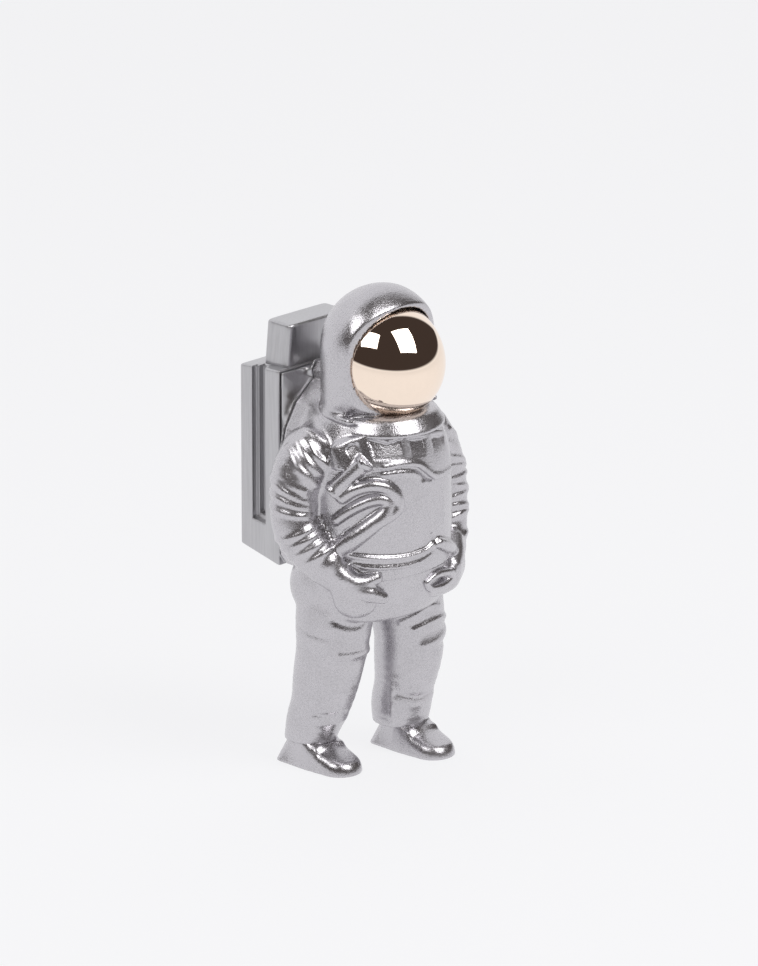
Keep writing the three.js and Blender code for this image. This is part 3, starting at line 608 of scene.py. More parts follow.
CHEST_UNIT = [
    (-15.2, 69.9), (-12.6, 71.8), (-10.2, 72.7), (-4.6, 71.9), (5.0, 70.9), (8.4, 70.0),
    (9.1, 61.2), (3.0, 61.3), (-1.2, 64.9), (-5.0, 65.8), (-15.8, 65.6),
]
CHEST_WINDOWS = [
    [(-14.0, 66.7), (-12.4, 67.0), (-12.1, 71.0), (-13.3, 70.5), (-14.0, 69.6)],
    [(-10.7, 67.6), (-4.5, 66.9), (-4.3, 71.2), (-7.4, 70.6), (-10.6, 71.9)],
    [(-2.9, 67.1), (1.1, 66.5), (1.3, 70.2), (-2.7, 70.7)],
    [(3.1, 66.4), (7.7, 63.4), (7.4, 69.3), (3.2, 70.0)],
]
CLOTH = 0.3  # jacket's cloth outside the bare torso
UNIT_PROUD, STRAP_PROUD, BELT_PROUD = 0.9, 0.3, 0.4
PLATE_EDGE = 0.3  # rounding of a plate's edge, and the blend where it meets the cloth
PLATES_END = -4.0  # plates stay in front of this y
WINDOW_HIGH, WINDOW_FALL, WINDOW_LEVEL = 0.95, 0.15, 66.5  # floor of the windows, deeper as it rises
WINDOW_DEPTH = 2.0  # how far outside the cloth a window still cuts
STRAP = [(-0.2, 61.6), (5.2, 61.2), (6.4, 56.0), (5.9, 51.4), (1.9, 50.4), (1.2, 55.2)]
BELT_TOP = [
    (-15.6, 48.9), (-14.0, 48.1), (-12.0, 47.7), (-9.5, 47.3),
    (-6.5, 47.0), (-3.0, 46.9), (0.5, 47.2), (2.4, 47.9),
]
BELT_LOW = [
    (-15.2, 46.8), (-12.7, 45.8), (-10.4, 45.4), (-7.5, 45.1),
    (-4.2, 44.95), (-1.1, 45.1), (1.7, 45.9), (2.9, 47.2),
]
ON_UNIT, ON_BELT = CLOTH + UNIT_PROUD, CLOTH + BELT_PROUD
SEAMS = [
    # points on the front, how proud of the torso they lie, height, width
    (BELT_TOP, ON_BELT, 0.42, 0.5),
    (BELT_LOW, ON_BELT + 0.1, 0.62, 0.5),
    ([(2.4, 47.9), (3.1, 47.8), (2.9, 47.2)], ON_BELT, 0.35, 0.42),
    ([(-0.2, 61.4), (1.2, 55.2), (1.9, 50.8)], 0.6, 0.25, 0.45),
    ([(5.2, 61.0), (6.4, 56.0), (5.9, 51.8)], 0.6, 0.25, 0.45),
    ([(-8.4, 66.1), (-4.8, 66.2), (-1.0, 65.4), (2.8, 62.2), (8.4, 62.0)], ON_UNIT, 0.35, 0.55),
    ([(-8.6, 64.4), (-4.6, 64.2), (-1.6, 63.4), (0.6, 61.4)], CLOTH, 0.35, 0.45),
    ([(8.8, 71.4), (9.6, 66.5), (9.9, 61.0)], 0.5, -0.45, 0.5),
    ([(-14.6, 52.6), (-12.6, 54.4)], CLOTH, -0.5, 0.5),
    ([(-15.2, 51.0), (-13.8, 52.4)], CLOTH, -0.45, 0.45),
    ([(-15.9, 49.6), (-14.6, 47.2), (-12.9, 45.4)], 0.5, -0.5, 0.5),
]
HOSES = [
    # points on the front, how proud they lie, radii along the hose, steps
    ([(-14.7, 60.0), (-13.4, 61.7), (-11.2, 62.6), (-8.6, 62.0), (-6.6, 60.0), (-6.3, 57.8), (-7.8, 56.2),
      (-10.2, 55.0)], 0.7, [1.2, 1.3, 1.25], 26),
    ([(-15.3, 55.2), (-13.8, 57.6), (-11.5, 59.3), (-9.3, 59.6), (-8.1, 58.5), (-8.8, 56.6), (-11.0, 54.5),
      (-13.3, 52.0), (-14.9, 49.6), (-15.7, 48.0)], 0.35, [1.0, 1.15, 1.5, 1.9, 1.8], 30),
]
HOSE_BLEND = 0.45
FITTING, FITTING_PROUD = [(-11.1, 67.5), (-15.5, 61.0)], 1.1
FITTING_BLEND = 0.35
HEM_EDGE, BACK_EDGE = 0.35, 0.3
COLLAR_BLEND = 1.6
SHOULDER_BLEND, SLAB_BLEND, GLOVE_BLEND = 1.3, 1.4, 0.7
SLAB_FRONT = 2.5


def with_radius(rows, radii):
    """Rows with a radius column read between the given radii."""
    share = np.linspace(0, 1, len(rows))
    return np.column_stack([rows, np.interp(share, np.linspace(0, 1, len(radii)), radii)])


def chest_relief(p, d, body, relief):
    """The chest unit with its sunk windows, the strap below it, the belt and the thin seams."""
    x, y, z = p.T
    cloth = body - CLOTH

    def outline_on_front(outline):
        return np.maximum(polygon(x, z, outline), y - PLATES_END)

    def plate(outline, proud, soft=PLATE_EDGE):
        return smooth_overlap(cloth - proud * relief, outline_on_front(outline), soft)

    d = smooth_union(d, plate(CHEST_UNIT, UNIT_PROUD, 0.35), PLATE_EDGE)
    window_floor = WINDOW_HIGH - WINDOW_FALL * (z - WINDOW_LEVEL)
    for outline in CHEST_WINDOWS:
        window = smooth_overlap(outline_on_front(outline), window_floor - cloth, 0.4)
        d = smooth_cut(d, np.maximum(window, cloth - WINDOW_DEPTH), 0.2)
    d = smooth_union(d, plate(STRAP, STRAP_PROUD), PLATE_EDGE)
    d = smooth_union(d, plate(BELT_TOP + BELT_LOW[::-1], BELT_PROUD), PLATE_EDGE)
    seams = [(on_front(points, proud), height, width) for points, proud, height, width in SEAMS]
    return folded(d, p, seams, relief)


def with_fitting(d, p):
    """The jacket with the hose's fitting laid on it: a straight barrel with a collar at each end."""
    top, foot = on_front(FITTING, FITTING_PROUD)
    length = np.linalg.norm(foot - top)
    axis = (foot - top) / length
    along = (p - top) @ axis
    off = np.linalg.norm(p - top - along[:, None] * axis, axis=1)
    for start, end, radius in ((0, length, 1.6), (-0.2, 0.9, 1.9), (length - 0.7, length + 0.1, 1.8)):
        barrel = np.maximum(off - radius, np.maximum(start - along, along - end))
        d = smooth_union(d, barrel, FITTING_BLEND)
    return d


def jacket(sizes):
    """Torso down to the hem, the back plate with its pockets, arms, gloves, chest unit and hoses."""
    radius = sizes.arm_radius / UNIT
    relief = sizes.relief

    def field(p):
        x, y, z = p.T
        body = torso(p)
        d = smooth_overlap(body - CLOTH, HEM - z, HEM_EDGE)
        d = smooth_overlap(d, z - COLLAR_TOP, COLLAR_BLEND)
        slab = np.where(y > 0.5, polygon(x, z, BACK_OUTLINE), FAR)
        d = smooth_union(d, np.maximum(slab, SLAB_FRONT - y), SLAB_BLEND)
        for side in (RIGHT, LEFT):
            d = smooth_union(d, sleeve(p, side, radius, relief), SHOULDER_BLEND)
        d = smooth_union(d, right_glove(p), GLOVE_BLEND)
        d = smooth_union(d, left_glove(p), GLOVE_BLEND)
        d = chest_relief(p, d, body, relief)
        for points, proud, radii, steps in HOSES:
            hose = tube(p, with_radius(on_front(points, proud), radii), steps)
            d = smooth_union(d, hose, HOSE_BLEND)
        d = with_fitting(d, p)
        d = folded(d, p, RIGHT_SHOULDER_FOLDS + LEFT_SHOULDER_FOLDS, relief)
        d = smooth_overlap(d, y - BACK_PLANE, BACK_EDGE)
        for level in MAGNET_LEVELS:
            d = bored(d, p, 0, level, MAGNET_POCKET, BACK_PLANE - BODY_MAGNET_DEPTH, BACK_PLANE + PAST)
        for place in DOWEL_PLACES:
            d = bored(d, p, place, PIN_LEVEL, DOWEL_HOLE, BACK_PLANE - BODY_DOWEL_DEPTH, BACK_PLANE + PAST)
        return np.maximum(d, -ball(p, VISOR_CENTRE, VISOR_RECESS))

    return field


LEGS = {
    RIGHT: [[-8.4, 1.0, 37.5, 7.9], [-9.2, 1.1, 31.0, 7.75], [-9.5, 1.5, 25.0, 7.15], [-9.9, 2.5, 19.0, 6.8],
            [-10.3, 3.6, 13.5, 6.1], [-10.7, 5.3, 9.0, 5.6], [-10.8, 6.5, 5.0, 5.1]],
    LEFT: [[8.4, 0.2, 37.5, 7.9], [9.2, -0.6, 31.0, 7.75], [9.6, -1.4, 25.0, 7.2], [9.5, -1.2, 19.5, 6.9],
           [9.3, -0.4, 13.5, 6.1], [9.2, 0.4, 9.0, 6.1], [9.3, 0.9, 5.0, 5.5]],
}
LEG_FOLDS = [
    # points, height, width: the right leg's, then the left leg's
    [[(-14.6, -4.0, 33.4), (-12.4, -6.0, 32.2), (-9.6, -6.9, 32.0), (-7.2, -6.6, 32.8)], -0.2, 0.7],
    [[(-14.2, -4.2, 31.6), (-12.6, -5.3, 30.7), (-10.2, -6.2, 30.4), (-7.8, -6.0, 31.2)], 0.41, 0.62],
    [[(-13.4, -4.8, 25.4), (-10.0, -6.0, 25.2), (-6.4, -5.4, 25.0), (-3.6, -3.0, 24.6)], 0.54, 0.75],
    [[(-13.4, -4.6, 23.2), (-10.0, -5.8, 23.1), (-6.4, -5.2, 22.9)], -0.31, 1.0],
    [[(-16.9, 4.4, 30.6), (-17.0, 0.6, 30.2), (-15.4, -3.0, 29.4)], -0.24, 1.0],
    [[(-16.7, 4.0, 26.4), (-16.7, 0.6, 26.6)], -0.2, 0.9],
    [[(-3.6, 4.0, 24.2), (-2.9, 1.2, 23.6), (-3.4, -2.4, 22.9)], 0.34, 1.0],
    [[(-15.6, 1.0, 12.4), (-12.6, -2.2, 12.0), (-9.4, -2.2, 12.2)], -0.24, 0.55],
    [[(-15.0, 0.8, 10.6), (-12.6, -1.4, 9.9), (-9.6, -1.2, 10.0), (-6.6, 1.0, 10.6)], 0.27, 0.8],
    [[(-11.4, -2.4, 13.2), (-10.6, -2.6, 15.8)], 0.27, 0.8],
    [[(3.0, -5.4, 28.7), (5.6, -7.6, 30.4), (8.2, -8.4, 31.6), (11.6, -8.0, 31.0)], 0.31, 0.55],
    [[(5.0, -7.4, 27.1), (8.2, -8.6, 28.3), (12.0, -8.2, 28.4), (15.2, -6.2, 27.6)], 0.37, 0.62],
    [[(7.0, -8.2, 25.8), (10.4, -8.8, 26.3), (14.0, -7.4, 26.0)], -0.2, 0.9],
    [[(6.8, -8.2, 23.4), (9.6, -8.8, 23.8), (12.6, -8.0, 24.4), (15.4, -5.8, 24.8)], 0.37, 0.9],
    [[(9.0, -8.6, 21.8), (12.2, -8.0, 22.2), (15.4, -5.6, 22.6)], -0.24, 0.9],
    [[(16.6, -3.6, 29.0), (17.4, 0.4, 28.4), (16.6, 3.8, 29.0)], 0.27, 0.9],
    [[(16.4, -3.4, 25.8), (16.9, -0.4, 25.2), (16.2, 3.0, 25.6)], -0.31, 0.8],
    [[(4.2, -3.6, 13.0), (7.4, -5.9, 12.0), (10.8, -5.9, 12.4), (14.0, -3.2, 13.2)], -0.24, 0.6],
    [[(3.9, -2.8, 11.2), (7.0, -5.4, 10.2), (10.8, -5.5, 10.6), (14.4, -2.6, 11.4)], 0.31, 0.8],
    [[(8.4, -6.2, 13.4), (9.6, -6.4, 15.6)], 0.24, 0.8],
    [[(3.9, -2.4, 15.0), (3.7, -2.2, 8.6), (4.2, -2.4, 4.0)], 0.24, 0.5],
]
CROTCH = 32.4
UNDER_JACKET = 0.1  # the trousers lie this far inside the bare torso
HIP, HIP_RADII = (8.0, 2.8, 38.2), (8.6, 8.4, 8.2)
WAIST_EDGE, HIP_BLEND, CROTCH_BLEND, LEG_BLEND = 0.5, 1.5, 1.6, 0.5
SEAT_TOP, SEAT_PROUD = 40, 0.6  # below this level the seat may stand this far behind the back's plane


def trousers(sizes):
    """Pelvis with hips and seat, and two legs with knee and ankle folds."""
    relief = sizes.relief

    def field(p):
        x, y, z = p.T
        d = smooth_overlap(torso(p) + UNDER_JACKET, z - WAISTBAND, WAIST_EDGE)
        for side in (RIGHT, LEFT):
            d = smooth_union(d, ellipsoid(p, (side * HIP[0], *HIP[1:]), HIP_RADII), HIP_BLEND)
        d = smooth_overlap(d, CROTCH - z, CROTCH_BLEND)
        for side in (RIGHT, LEFT):
            d = smooth_union(d, tube(p, LEGS[side], 20), LEG_BLEND)
        d = np.maximum(d, CUFF_LEVEL - z)
        d = folded(d, p, LEG_FOLDS, relief)
        return np.maximum(d, y - BACK_PLANE - np.where(z > SEAT_TOP, 0, SEAT_PROUD))

    return field


BOOTS = {RIGHT: (-10.9, 12.1, -6.7), LEFT: (9.4, 5.8, -12.9)}  # middle, heel and toe
BOOT_HALF = 4.95
TOE_NARROWING = 0.9
HEEL_CORNER, HEEL_CORNER_GROWTH, HEEL_CORNER_MOST = 1.9, 0.4, 4.8
TOE_CORNER = 3.9
LEAN_LEAST, LEAN_MOST = 0.1, 0.34  # how much the wall leans in at the toe and at the heel
BOOT_TOPS = [
    # share from toe to heel, height
    (0.0, 2.0), (0.06, 2.5), (0.16, 3.1), (0.30, 4.0), (0.45, 5.4), (0.60, 7.2), (0.80, 7.4), (1.0, 5.6),
]
DOME_FALL, DOME_SLOPE, DOME_EDGE, SOLE_EDGE = 0.03, 0.85, 1.5, 0.35
CREASE_HALF, CREASE_WIDTH = 3.4, 0.9
CREASES = [(5.4, -0.25), (6.8, 0.3)]  # distance behind the toe, height


def boot(side):
    """An upright wall that leans in as it rises, round the toe and squarer round the heel, under a top that
    falls from the ankle to the toe. Also returns the corners of the box that holds it."""
    middle, heel, toe = BOOTS[side]
    tops = curve_through(BOOT_TOPS, 60)

    def field(p):
        x, y, z = p.T
        share = (y - toe) / (heel - toe)
        top = np.interp(share, tops[:, 0], tops[:, 1])
        heel_corner = np.minimum(HEEL_CORNER + HEEL_CORNER_GROWTH * np.maximum(z, 0), HEEL_CORNER_MOST)
        corner = np.where(share < 0.5, TOE_CORNER, heel_corner)
        half = BOOT_HALF - TOE_NARROWING * np.clip(1 - share / 0.5, 0, 1)
        across = np.maximum(np.abs(x - middle) - (half - corner), 0)
        along = np.maximum(np.maximum(toe + corner - y, y - heel + corner), 0)
        outline = np.hypot(across, along) - corner
        leaning = np.clip(0.9 * (share - 0.5), LEAN_LEAST, LEAN_MOST) * z
        dome = z - top + DOME_FALL * (x - middle) ** 2
        d = smooth_overlap(outline + leaning, dome * DOME_SLOPE, DOME_EDGE)
        for offset, height in CREASES:
            y_crease = toe + offset
            crease = [
                (middle - CREASE_HALF, y_crease + 1.0, 4.4),
                (middle, y_crease, 2.2 + 0.6 * offset),
                (middle + CREASE_HALF, y_crease + 0.6, 4.6),
            ]
            d = d - ridge(p, crease, height, CREASE_WIDTH)
        return smooth_overlap(d, -z, SOLE_EDGE)

    return field, [middle - 6, toe - 1, -0.6], [middle + 6, heel + 1, 11.6]


# ---------------------------------------------------------------------------------------------------------
# The backpack's shapes.


def step_up(value, at, width=0.14):
    """0 below a value and 1 above it, with a smooth wall of a width between."""
    t = np.clip((value - at) / width + 0.5, 0, 1)
    return t * t * (3 - 2 * t)


CHANNEL, INNER_CHANNEL = (3.9, 7.6), (4.8, 6.7)  # walls of the two steps, behind the shell's front
CHANNEL_STEP = 1.2  # depth of each step, and how much higher the inner one starts
CHANNEL_FOOT, FOOT_WIDTH = 7.4, 0.8
WALL_WIDTH = 0.12
BOTTOM_RISE, BOTTOM_DROP, TOP_FALL = 1.8, 0.6, 0.8


def shell_rings(edge):
    """Rings of the pack from bottom to top. Round each ring the side is the half width less the channel's
    depth at that y and level, and near the ends the ring draws in along a quarter circle."""
    front, rear = PACK_FRONT, PACK_REAR
    steps = [
        (front + walls[0], front + walls[1], PACK_LOW + foot)
        for walls, foot in ((CHANNEL, CHANNEL_FOOT), (INNER_CHANNEL, CHANNEL_FOOT + CHANNEL_STEP))
    ]
    walls = [np.linspace(w - WALL_WIDTH, w + WALL_WIDTH, 7) for step in steps for w in step[:2]]
    side_y = np.unique(np.round(np.concatenate([np.linspace(front + edge, rear - edge, 34), *walls]), 4))
    quarter = np.linspace(0, np.pi / 2, 6)
    rounded = edge * (1 - np.cos(quarter))
    even = np.linspace(edge, PACK_HEIGHT - edge, 40)
    round_foot = np.linspace(CHANNEL_FOOT - 0.6, CHANNEL_FOOT + 1.8, 30)
    levels = np.unique(np.round(np.concatenate([rounded, PACK_HEIGHT - rounded, even, round_foot]), 4))
    rings = []
    for level in levels:
        near_end = min(level, PACK_HEIGHT - level)
        inset = edge - math.sqrt(max(edge**2 - max(edge - near_end, 0) ** 2, 0))
        z = PACK_LOW + level
        deep = sum(
            CHANNEL_STEP * step_up(side_y, start) * (1 - step_up(side_y, end)) * step_up(z, foot, FOOT_WIDTH)
            for start, end, foot in steps
        )
        half = PACK_WIDTH / 2 - inset
        sines, cosines = edge * (1 - np.sin(quarter)), edge * (1 - np.cos(quarter))
        front_corner = list(zip(half - sines[:-1], front + inset + cosines[:-1]))
        back_corner = list(zip(half - cosines[1:], rear - inset - sines[1:]))
        drawn_in = (rear - front - 2 * edge - 2 * inset) / (rear - front - 2 * edge)
        between = front + inset + edge + (side_y - front - edge) * drawn_in
        one = front_corner + list(zip(half - deep, between)) + back_corner
        ring = np.array(one + [(-x, y) for x, y in reversed(one)])
        rings.append(np.column_stack([ring, np.full(len(ring), z)]))
    return np.array(rings)


def lean(points):
    """The bottom drops a little in front and rises to the rear, and the top falls to the rear."""
    x, y, z = points.T
    back = np.clip((y - PACK_FRONT) / PACK_DEPTH, 0, 1)
    up = (z - PACK_LOW) / PACK_HEIGHT
    z = z + (BOTTOM_RISE * back - BOTTOM_DROP * (1 - back)) * (1 - up) ** 3 - TOP_FALL * back * up**3
    return np.column_stack([x, y, z])


def closed_rings(rings, shares, drawn, centre):
    """Points and faces of a stack of rings, each end closed by rings whose places on the drawn axes shrink
    by shares towards the centre."""
    ends = [[centre + (ring - centre) * (1 - (1 - share) * np.array(drawn)) for share in shares]
            for ring in (rings[0], rings[-1])]
    stack = np.concatenate([ends[0][::-1], rings, ends[1]])
    return stack.reshape(-1, 3), grid_faces(*stack.shape[:2])


def lathe(profile, sides, centre, tilt=0.0):
    """A profile of [radius, reach] turned about an axis that looks along -y, tipped down by tilt."""
    profile = np.asarray(profile, float)
    turn = np.linspace(0, 2 * np.pi, sides, endpoint=False)
    radius, reach = profile[:, :1], profile[:, 1:]
    x = radius * np.cos(turn)
    up = radius * np.sin(turn)
    y = np.broadcast_to(-reach, x.shape)
    c, s = math.cos(tilt), math.sin(tilt)
    points = np.stack([x, y * c + up * s, up * c + y * s], axis=-1).reshape(-1, 3) + centre
    return points, grid_faces(len(profile), sides)


BLEND_START, BLEND_SHORT = 0.25, 0.4  # the saddle's blend starts behind its front and ends before its rear
SADDLE_EDGE, SADDLE_SLOPE = 0.25, 0.75
SADDLE_HALF, SADDLE_FOOT, SADDLE_TOP = 11.6, 0.5, 0.35  # pack's outline, drawn in at its foot and its top


def saddle(p):
    """Everything between the body's outline in front and the pack's outline behind: the blend of the two
    outlines' distances, with pockets for magnets, dowels and screws."""
    x, y, z = p.T
    share = np.clip((y - SADDLE_FRONT - BLEND_START) / (SADDLE_REAR - SADDLE_FRONT - BLEND_SHORT), 0, 1)
    body = polygon(x, z, BACK_OUTLINE)
    flat = np.column_stack([x, np.zeros(len(x)), z])
    low, high = (-SADDLE_HALF, -9, PACK_LOW + SADDLE_FOOT), (SADDLE_HALF, 9, PACK_TOP - SADDLE_TOP)
    pack = rounded_box(flat, low, high, 0.5)
    d = body * (1 - share) + pack * share
    d = smooth_overlap(d * SADDLE_SLOPE, np.maximum(SADDLE_FRONT - y, y - SADDLE_REAR), SADDLE_EDGE)
    before, after = SADDLE_FRONT - PAST, SADDLE_REAR + PAST
    for level in MAGNET_LEVELS:
        d = bored(d, p, 0, level, MAGNET_POCKET, before, SADDLE_FRONT + PACK_MAGNET_DEPTH)
    for level in SCREW_LEVELS:
        d = bored(d, p, 0, level, SCREW_HEAD, before, SADDLE_FRONT + SCREW_HEAD_DEPTH)
        d = bored(d, p, 0, level, SCREW_HOLE, before, after)
    for place in DOWEL_PLACES:
        d = bored(d, p, place, PIN_LEVEL, DOWEL_HOLE, before, after)
    return d


# ---------------------------------------------------------------------------------------------------------
# Materials.


class Maths:
    """A socket that adds Math nodes when it stands in an expression."""

    def __init__(self, finish, socket):
        self.finish, self.socket = finish, socket

    def _with(self, operation, *values):
        made = self.finish.node("ShaderNodeMath", {"operation": operation}, *values)
        return Maths(self.finish, made.outputs[0])

    def __add__(self, other):
        return self._with("ADD", self, other)

    __radd__ = __add__

    def __mul__(self, other):
        return self._with("MULTIPLY", self, other)

    __rmul__ = __mul__

    def __sub__(self, other):
        return self._with("SUBTRACT", self, other)

    def __rsub__(self, other):
        return self._with("SUBTRACT", other, self)

    def held(self, low, high):
        """0 at low, 1 at high, and a smooth rise between."""
        made = self.finish.node(
            "ShaderNodeMapRange", {"interpolation_type": "SMOOTHSTEP"}, self, low, high, 0.0, 1.0)
        return Maths(self.finish, made.outputs[0])


MIX_ONE, MIX_OTHER, MIX_RESULT = 6, 7, 2  # a Mix node's colour sockets


class Finish:
    """The node tree of a material or of the world."""

    def __init__(self, owner):
        owner.use_nodes = True
        self.owner = owner
        self.tree = owner.node_tree

    def node(self, kind, settings, *values):
        """A node: its settings first, then its input sockets in order. None leaves a socket alone."""
        made = self.tree.nodes.new(kind)
        for key, value in settings.items():
            setattr(made, key, value)
        for socket, value in zip(made.inputs, values):
            self.put(socket, value)
        return made

    def put(self, socket, value):
        """A link or a constant for a socket."""
        if isinstance(value, Maths):
            value = value.socket
        if isinstance(value, bpy.types.NodeSocket):
            self.tree.links.new(value, socket)
        elif value is not None:
            socket.default_value = value

    def place(self):
        """Object coordinates, in metres."""
        return self.node("ShaderNodeTexCoord", {}).outputs["Object"]

    def noise(self, place, size, detail=2.0, stretch=None):
        """Noise whose blobs are about a size in millimetres, stretched along an axis where asked."""
        if stretch:
            moved = self.node("ShaderNodeMapping", {"vector_type": "POINT"}, place, None, None, stretch)
            place = moved.outputs[0]
        made = self.node("ShaderNodeTexNoise", {}, place)
        self.put(made.inputs["Scale"], 1 / (size * UNIT))
        self.put(made.inputs["Detail"], detail)
        return Maths(self, made.outputs["Fac"])

    def cells(self, place, size):
        """Distance to the nearest of points about a size in millimetres apart."""
        made = self.node("ShaderNodeTexVoronoi", {"feature": "F1"}, place)
        self.put(made.inputs["Scale"], 1 / (size * UNIT))
        return Maths(self, made.outputs["Distance"])

    def mixed(self, share, one, other):
        """One colour where the share is 0 and the other where it is 1."""
        made = self.node("ShaderNodeMix", {"data_type": "RGBA"}, share)
        self.put(made.inputs[MIX_ONE], (*one, 1))
        self.put(made.inputs[MIX_OTHER], (*other, 1))
        return made.outputs[MIX_RESULT]

    def bump(self, height, depth, under=None):
        """A Bump node: a height map from 0 to 1 that is depth millimetres deep."""
        made = self.node("ShaderNodeBump", {})
        self.put(made.inputs["Strength"], 1.0)
        self.put(made.inputs["Distance"], depth * UNIT)
        self.put(made.inputs["Height"], height)
        if under is not None:
            self.put(made.inputs["Normal"], under)
        return made.outputs[0]

    def set(self, **values):
        """Links or constants for the Principled BSDF, by the names of its sockets."""
        shader = self.tree.nodes["Principled BSDF"]
        for key, value in values.items():
            self.put(shader.inputs[key.replace("_", " ")], value)
        return self.owner


def new_finish(name):
    return Finish(bpy.data.materials.new(name))


def shade(colour, share):
    """A colour made darker or lighter."""
    return tuple(c * share for c in colour)


def tumbled_zinc(colour):
    """Zinc alloy tumbled with stones: fine dents and grain, a slow change of gloss, darker in the pits."""
    f = new_finish("tumbled_zinc")
    place = f.place()
    grain = f.noise(place, 0.30, 2.0)
    dents = f.cells(place, 0.85)
    cloud = f.noise(place, 6.0, 3.0)
    slow = f.bump(dents, 0.012)
    fine = f.bump(grain, 0.042, slow)
    tone = (grain * 0.7 + cloud * 0.3).held(0.3, 0.62)
    return f.set(
        Base_Color=f.mixed(tone, shade(colour, 0.86), shade(colour, 1.06)),
        Metallic=0.9,
        Roughness=cloud.held(0.3, 0.7) * 0.07 + grain * 0.12 + 0.17,
        Normal=fine,
    )


def satin_zinc(colour):
    """Zinc alloy brushed up and down and then tumbled lightly."""
    f = new_finish("satin_zinc")
    place = f.place()
    strokes = f.noise(place, 0.5, 3.0, stretch=(1.0, 1.0, 0.05))
    grain = f.noise(place, 0.3, 2.0)
    cloud = f.noise(place, 7.0, 2.0)
    lines = f.bump(strokes, 0.006)
    fine = f.bump(grain, 0.012, lines)
    return f.set(
        Base_Color=f.mixed(strokes.held(0.3, 0.7), shade(colour, 0.93), shade(colour, 1.04)),
        Metallic=1.0,
        Roughness=strokes * 0.1 + cloud.held(0.3, 0.7) * 0.05 + 0.24,
        Normal=fine,
    )


def rose_gold(colour):
    """Polished rose-gold plating with the faintest haze."""
    f = new_finish("rose_gold")
    place = f.place()
    haze = f.noise(place, 1.2, 2.0)
    wave = f.noise(place, 5.0, 1.0)
    return f.set(
        Base_Color=f.mixed(haze.held(0.35, 0.65), colour, shade(colour, 0.99)),
        Metallic=1.0,
        Roughness=haze.held(0.45, 0.75) * 0.012 + 0.02,
        Normal=f.bump(wave, 0.006),
    )


def turned_metal(name, colour, roughness):
    """Plated or turned steel: fine scratches across a smooth face."""
    f = new_finish(name)
    place = f.place()
    scratch = f.noise(place, 0.4, 3.0, stretch=(0.15, 1.0, 1.0))
    return f.set(
        Base_Color=f.mixed(scratch.held(0.3, 0.7), shade(colour, 0.88), colour),
        Metallic=1.0,
        Roughness=scratch * 0.12 + roughness,
        Normal=f.bump(scratch, 0.004),
    )


def nickel(colour):
    return turned_metal("nickel", colour, 0.14)


def steel(colour):
    return turned_metal("steel", colour, 0.2)


RECIPES = {
    # material: the function that makes it, and its colour's name in the property group
    "tumbled_zinc": (tumbled_zinc, "zinc"),
    "satin_zinc": (satin_zinc, "satin"),
    "rose_gold": (rose_gold, "rose_gold"),
    "nickel": (nickel, "nickel"),
    "steel": (steel, "steel"),
}
MADE = {}


def material(name):
    """Each material is made once, from the colours in its property group."""
    if name not in MADE:
        recipe, colour = RECIPES[name]
        MADE[name] = recipe(tuple(getattr(bpy.context.scene.statuette_colours, colour)))
    return MADE[name]


# ---------------------------------------------------------------------------------------------------------
# Operators: one for each piece or group of like pieces, and one for the stage.


COARSER_JACKET, FINER_BOOTS, FINER_SADDLE = 1.06, 0.8, 0.75


def mesh_cell(sizes, share=1.0):
    return sizes.cell / UNIT * share * 1.0


class StatuettePiece:
    """What every operator shares: it builds from the sizes in the scene."""

    bl_options = {"REGISTER", "UNDO"}

    def execute(self, context):
        self.build(context.scene.statuette_sizes)
        return {"FINISHED"}


class STATUETTE_OT_helmet(StatuettePiece, bpy.types.Operator):
    """Hood with its rim and the collar that slopes away below it"""

    bl_idname = "statuette.helmet"
    bl_label = "Helmet"

    def build(self, sizes):
        low, high = (-14.2, -17.5, 71.4), (14.2, 10.6, 100.8)
        cast("helmet", helmet(sizes), low, high, mesh_cell(sizes),
             material("tumbled_zinc"), "figure", ["suit_casting"])


STEM_REACH, STEM_RADIUS, STEM_EDGE = -4.0, 3.0, 0.2
VISOR_EDGE = 0.25
VISOR_TILT = math.radians(4)


class STATUETTE_OT_visor(StatuettePiece, bpy.types.Operator):
    """Mirror visor: a ball's front with a flat back and a stem"""

    bl_idname = "statuette.visor"
    bl_label = "Visor"

    def build(self, sizes):
        radius = sizes.visor_radius / UNIT
        low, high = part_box("visor")
        top = (high.z + low.z) / 2
        arc = np.linspace(0, np.pi / 2, 72)
        bead = [(radius * math.cos(a), radius * math.sin(a)) for a in arc]
        stem = [(0, STEM_REACH), (STEM_RADIUS - STEM_EDGE, STEM_REACH), (STEM_RADIUS, STEM_REACH + STEM_EDGE)]
        back = [(STEM_RADIUS, 0), (radius - VISOR_EDGE, 0)]
        profile = stem + back + bead[1:-1] + [(0, radius)]
        centre = (0, VISOR_CENTRE[1], (top - ORIGIN[2]) / UNIT)
        points, faces = lathe(profile, 160, np.array(centre), VISOR_TILT)
        vertices, kept = welded(points, faces)
        piece("visor_mirror", vertices, kept, material("rose_gold"), "figure", ["visor"])


class STATUETTE_OT_jacket(StatuettePiece, bpy.types.Operator):
    """Jacket with sleeves, gloves, chest unit, belt, hoses and back plate"""

    bl_idname = "statuette.jacket"
    bl_label = "Jacket"

    def build(self, sizes):
        low, high = (-26.4, -18.2, 31.0), (26.4, 11.8, 83.0)
        cast("jacket", jacket(sizes), low, high, mesh_cell(sizes, COARSER_JACKET),
             material("tumbled_zinc"), "figure", ["suit_casting"])


class STATUETTE_OT_trousers(StatuettePiece, bpy.types.Operator):
    """Pelvis and both trouser legs with their folds"""

    bl_idname = "statuette.trousers"
    bl_label = "Trousers"

    def build(self, sizes):
        low, high = (-18.8, -16.0, 4.6), (18.8, 13.2, 45.6)
        cast("trousers", trousers(sizes), low, high, mesh_cell(sizes),
             material("tumbled_zinc"), "figure", ["suit_casting"])


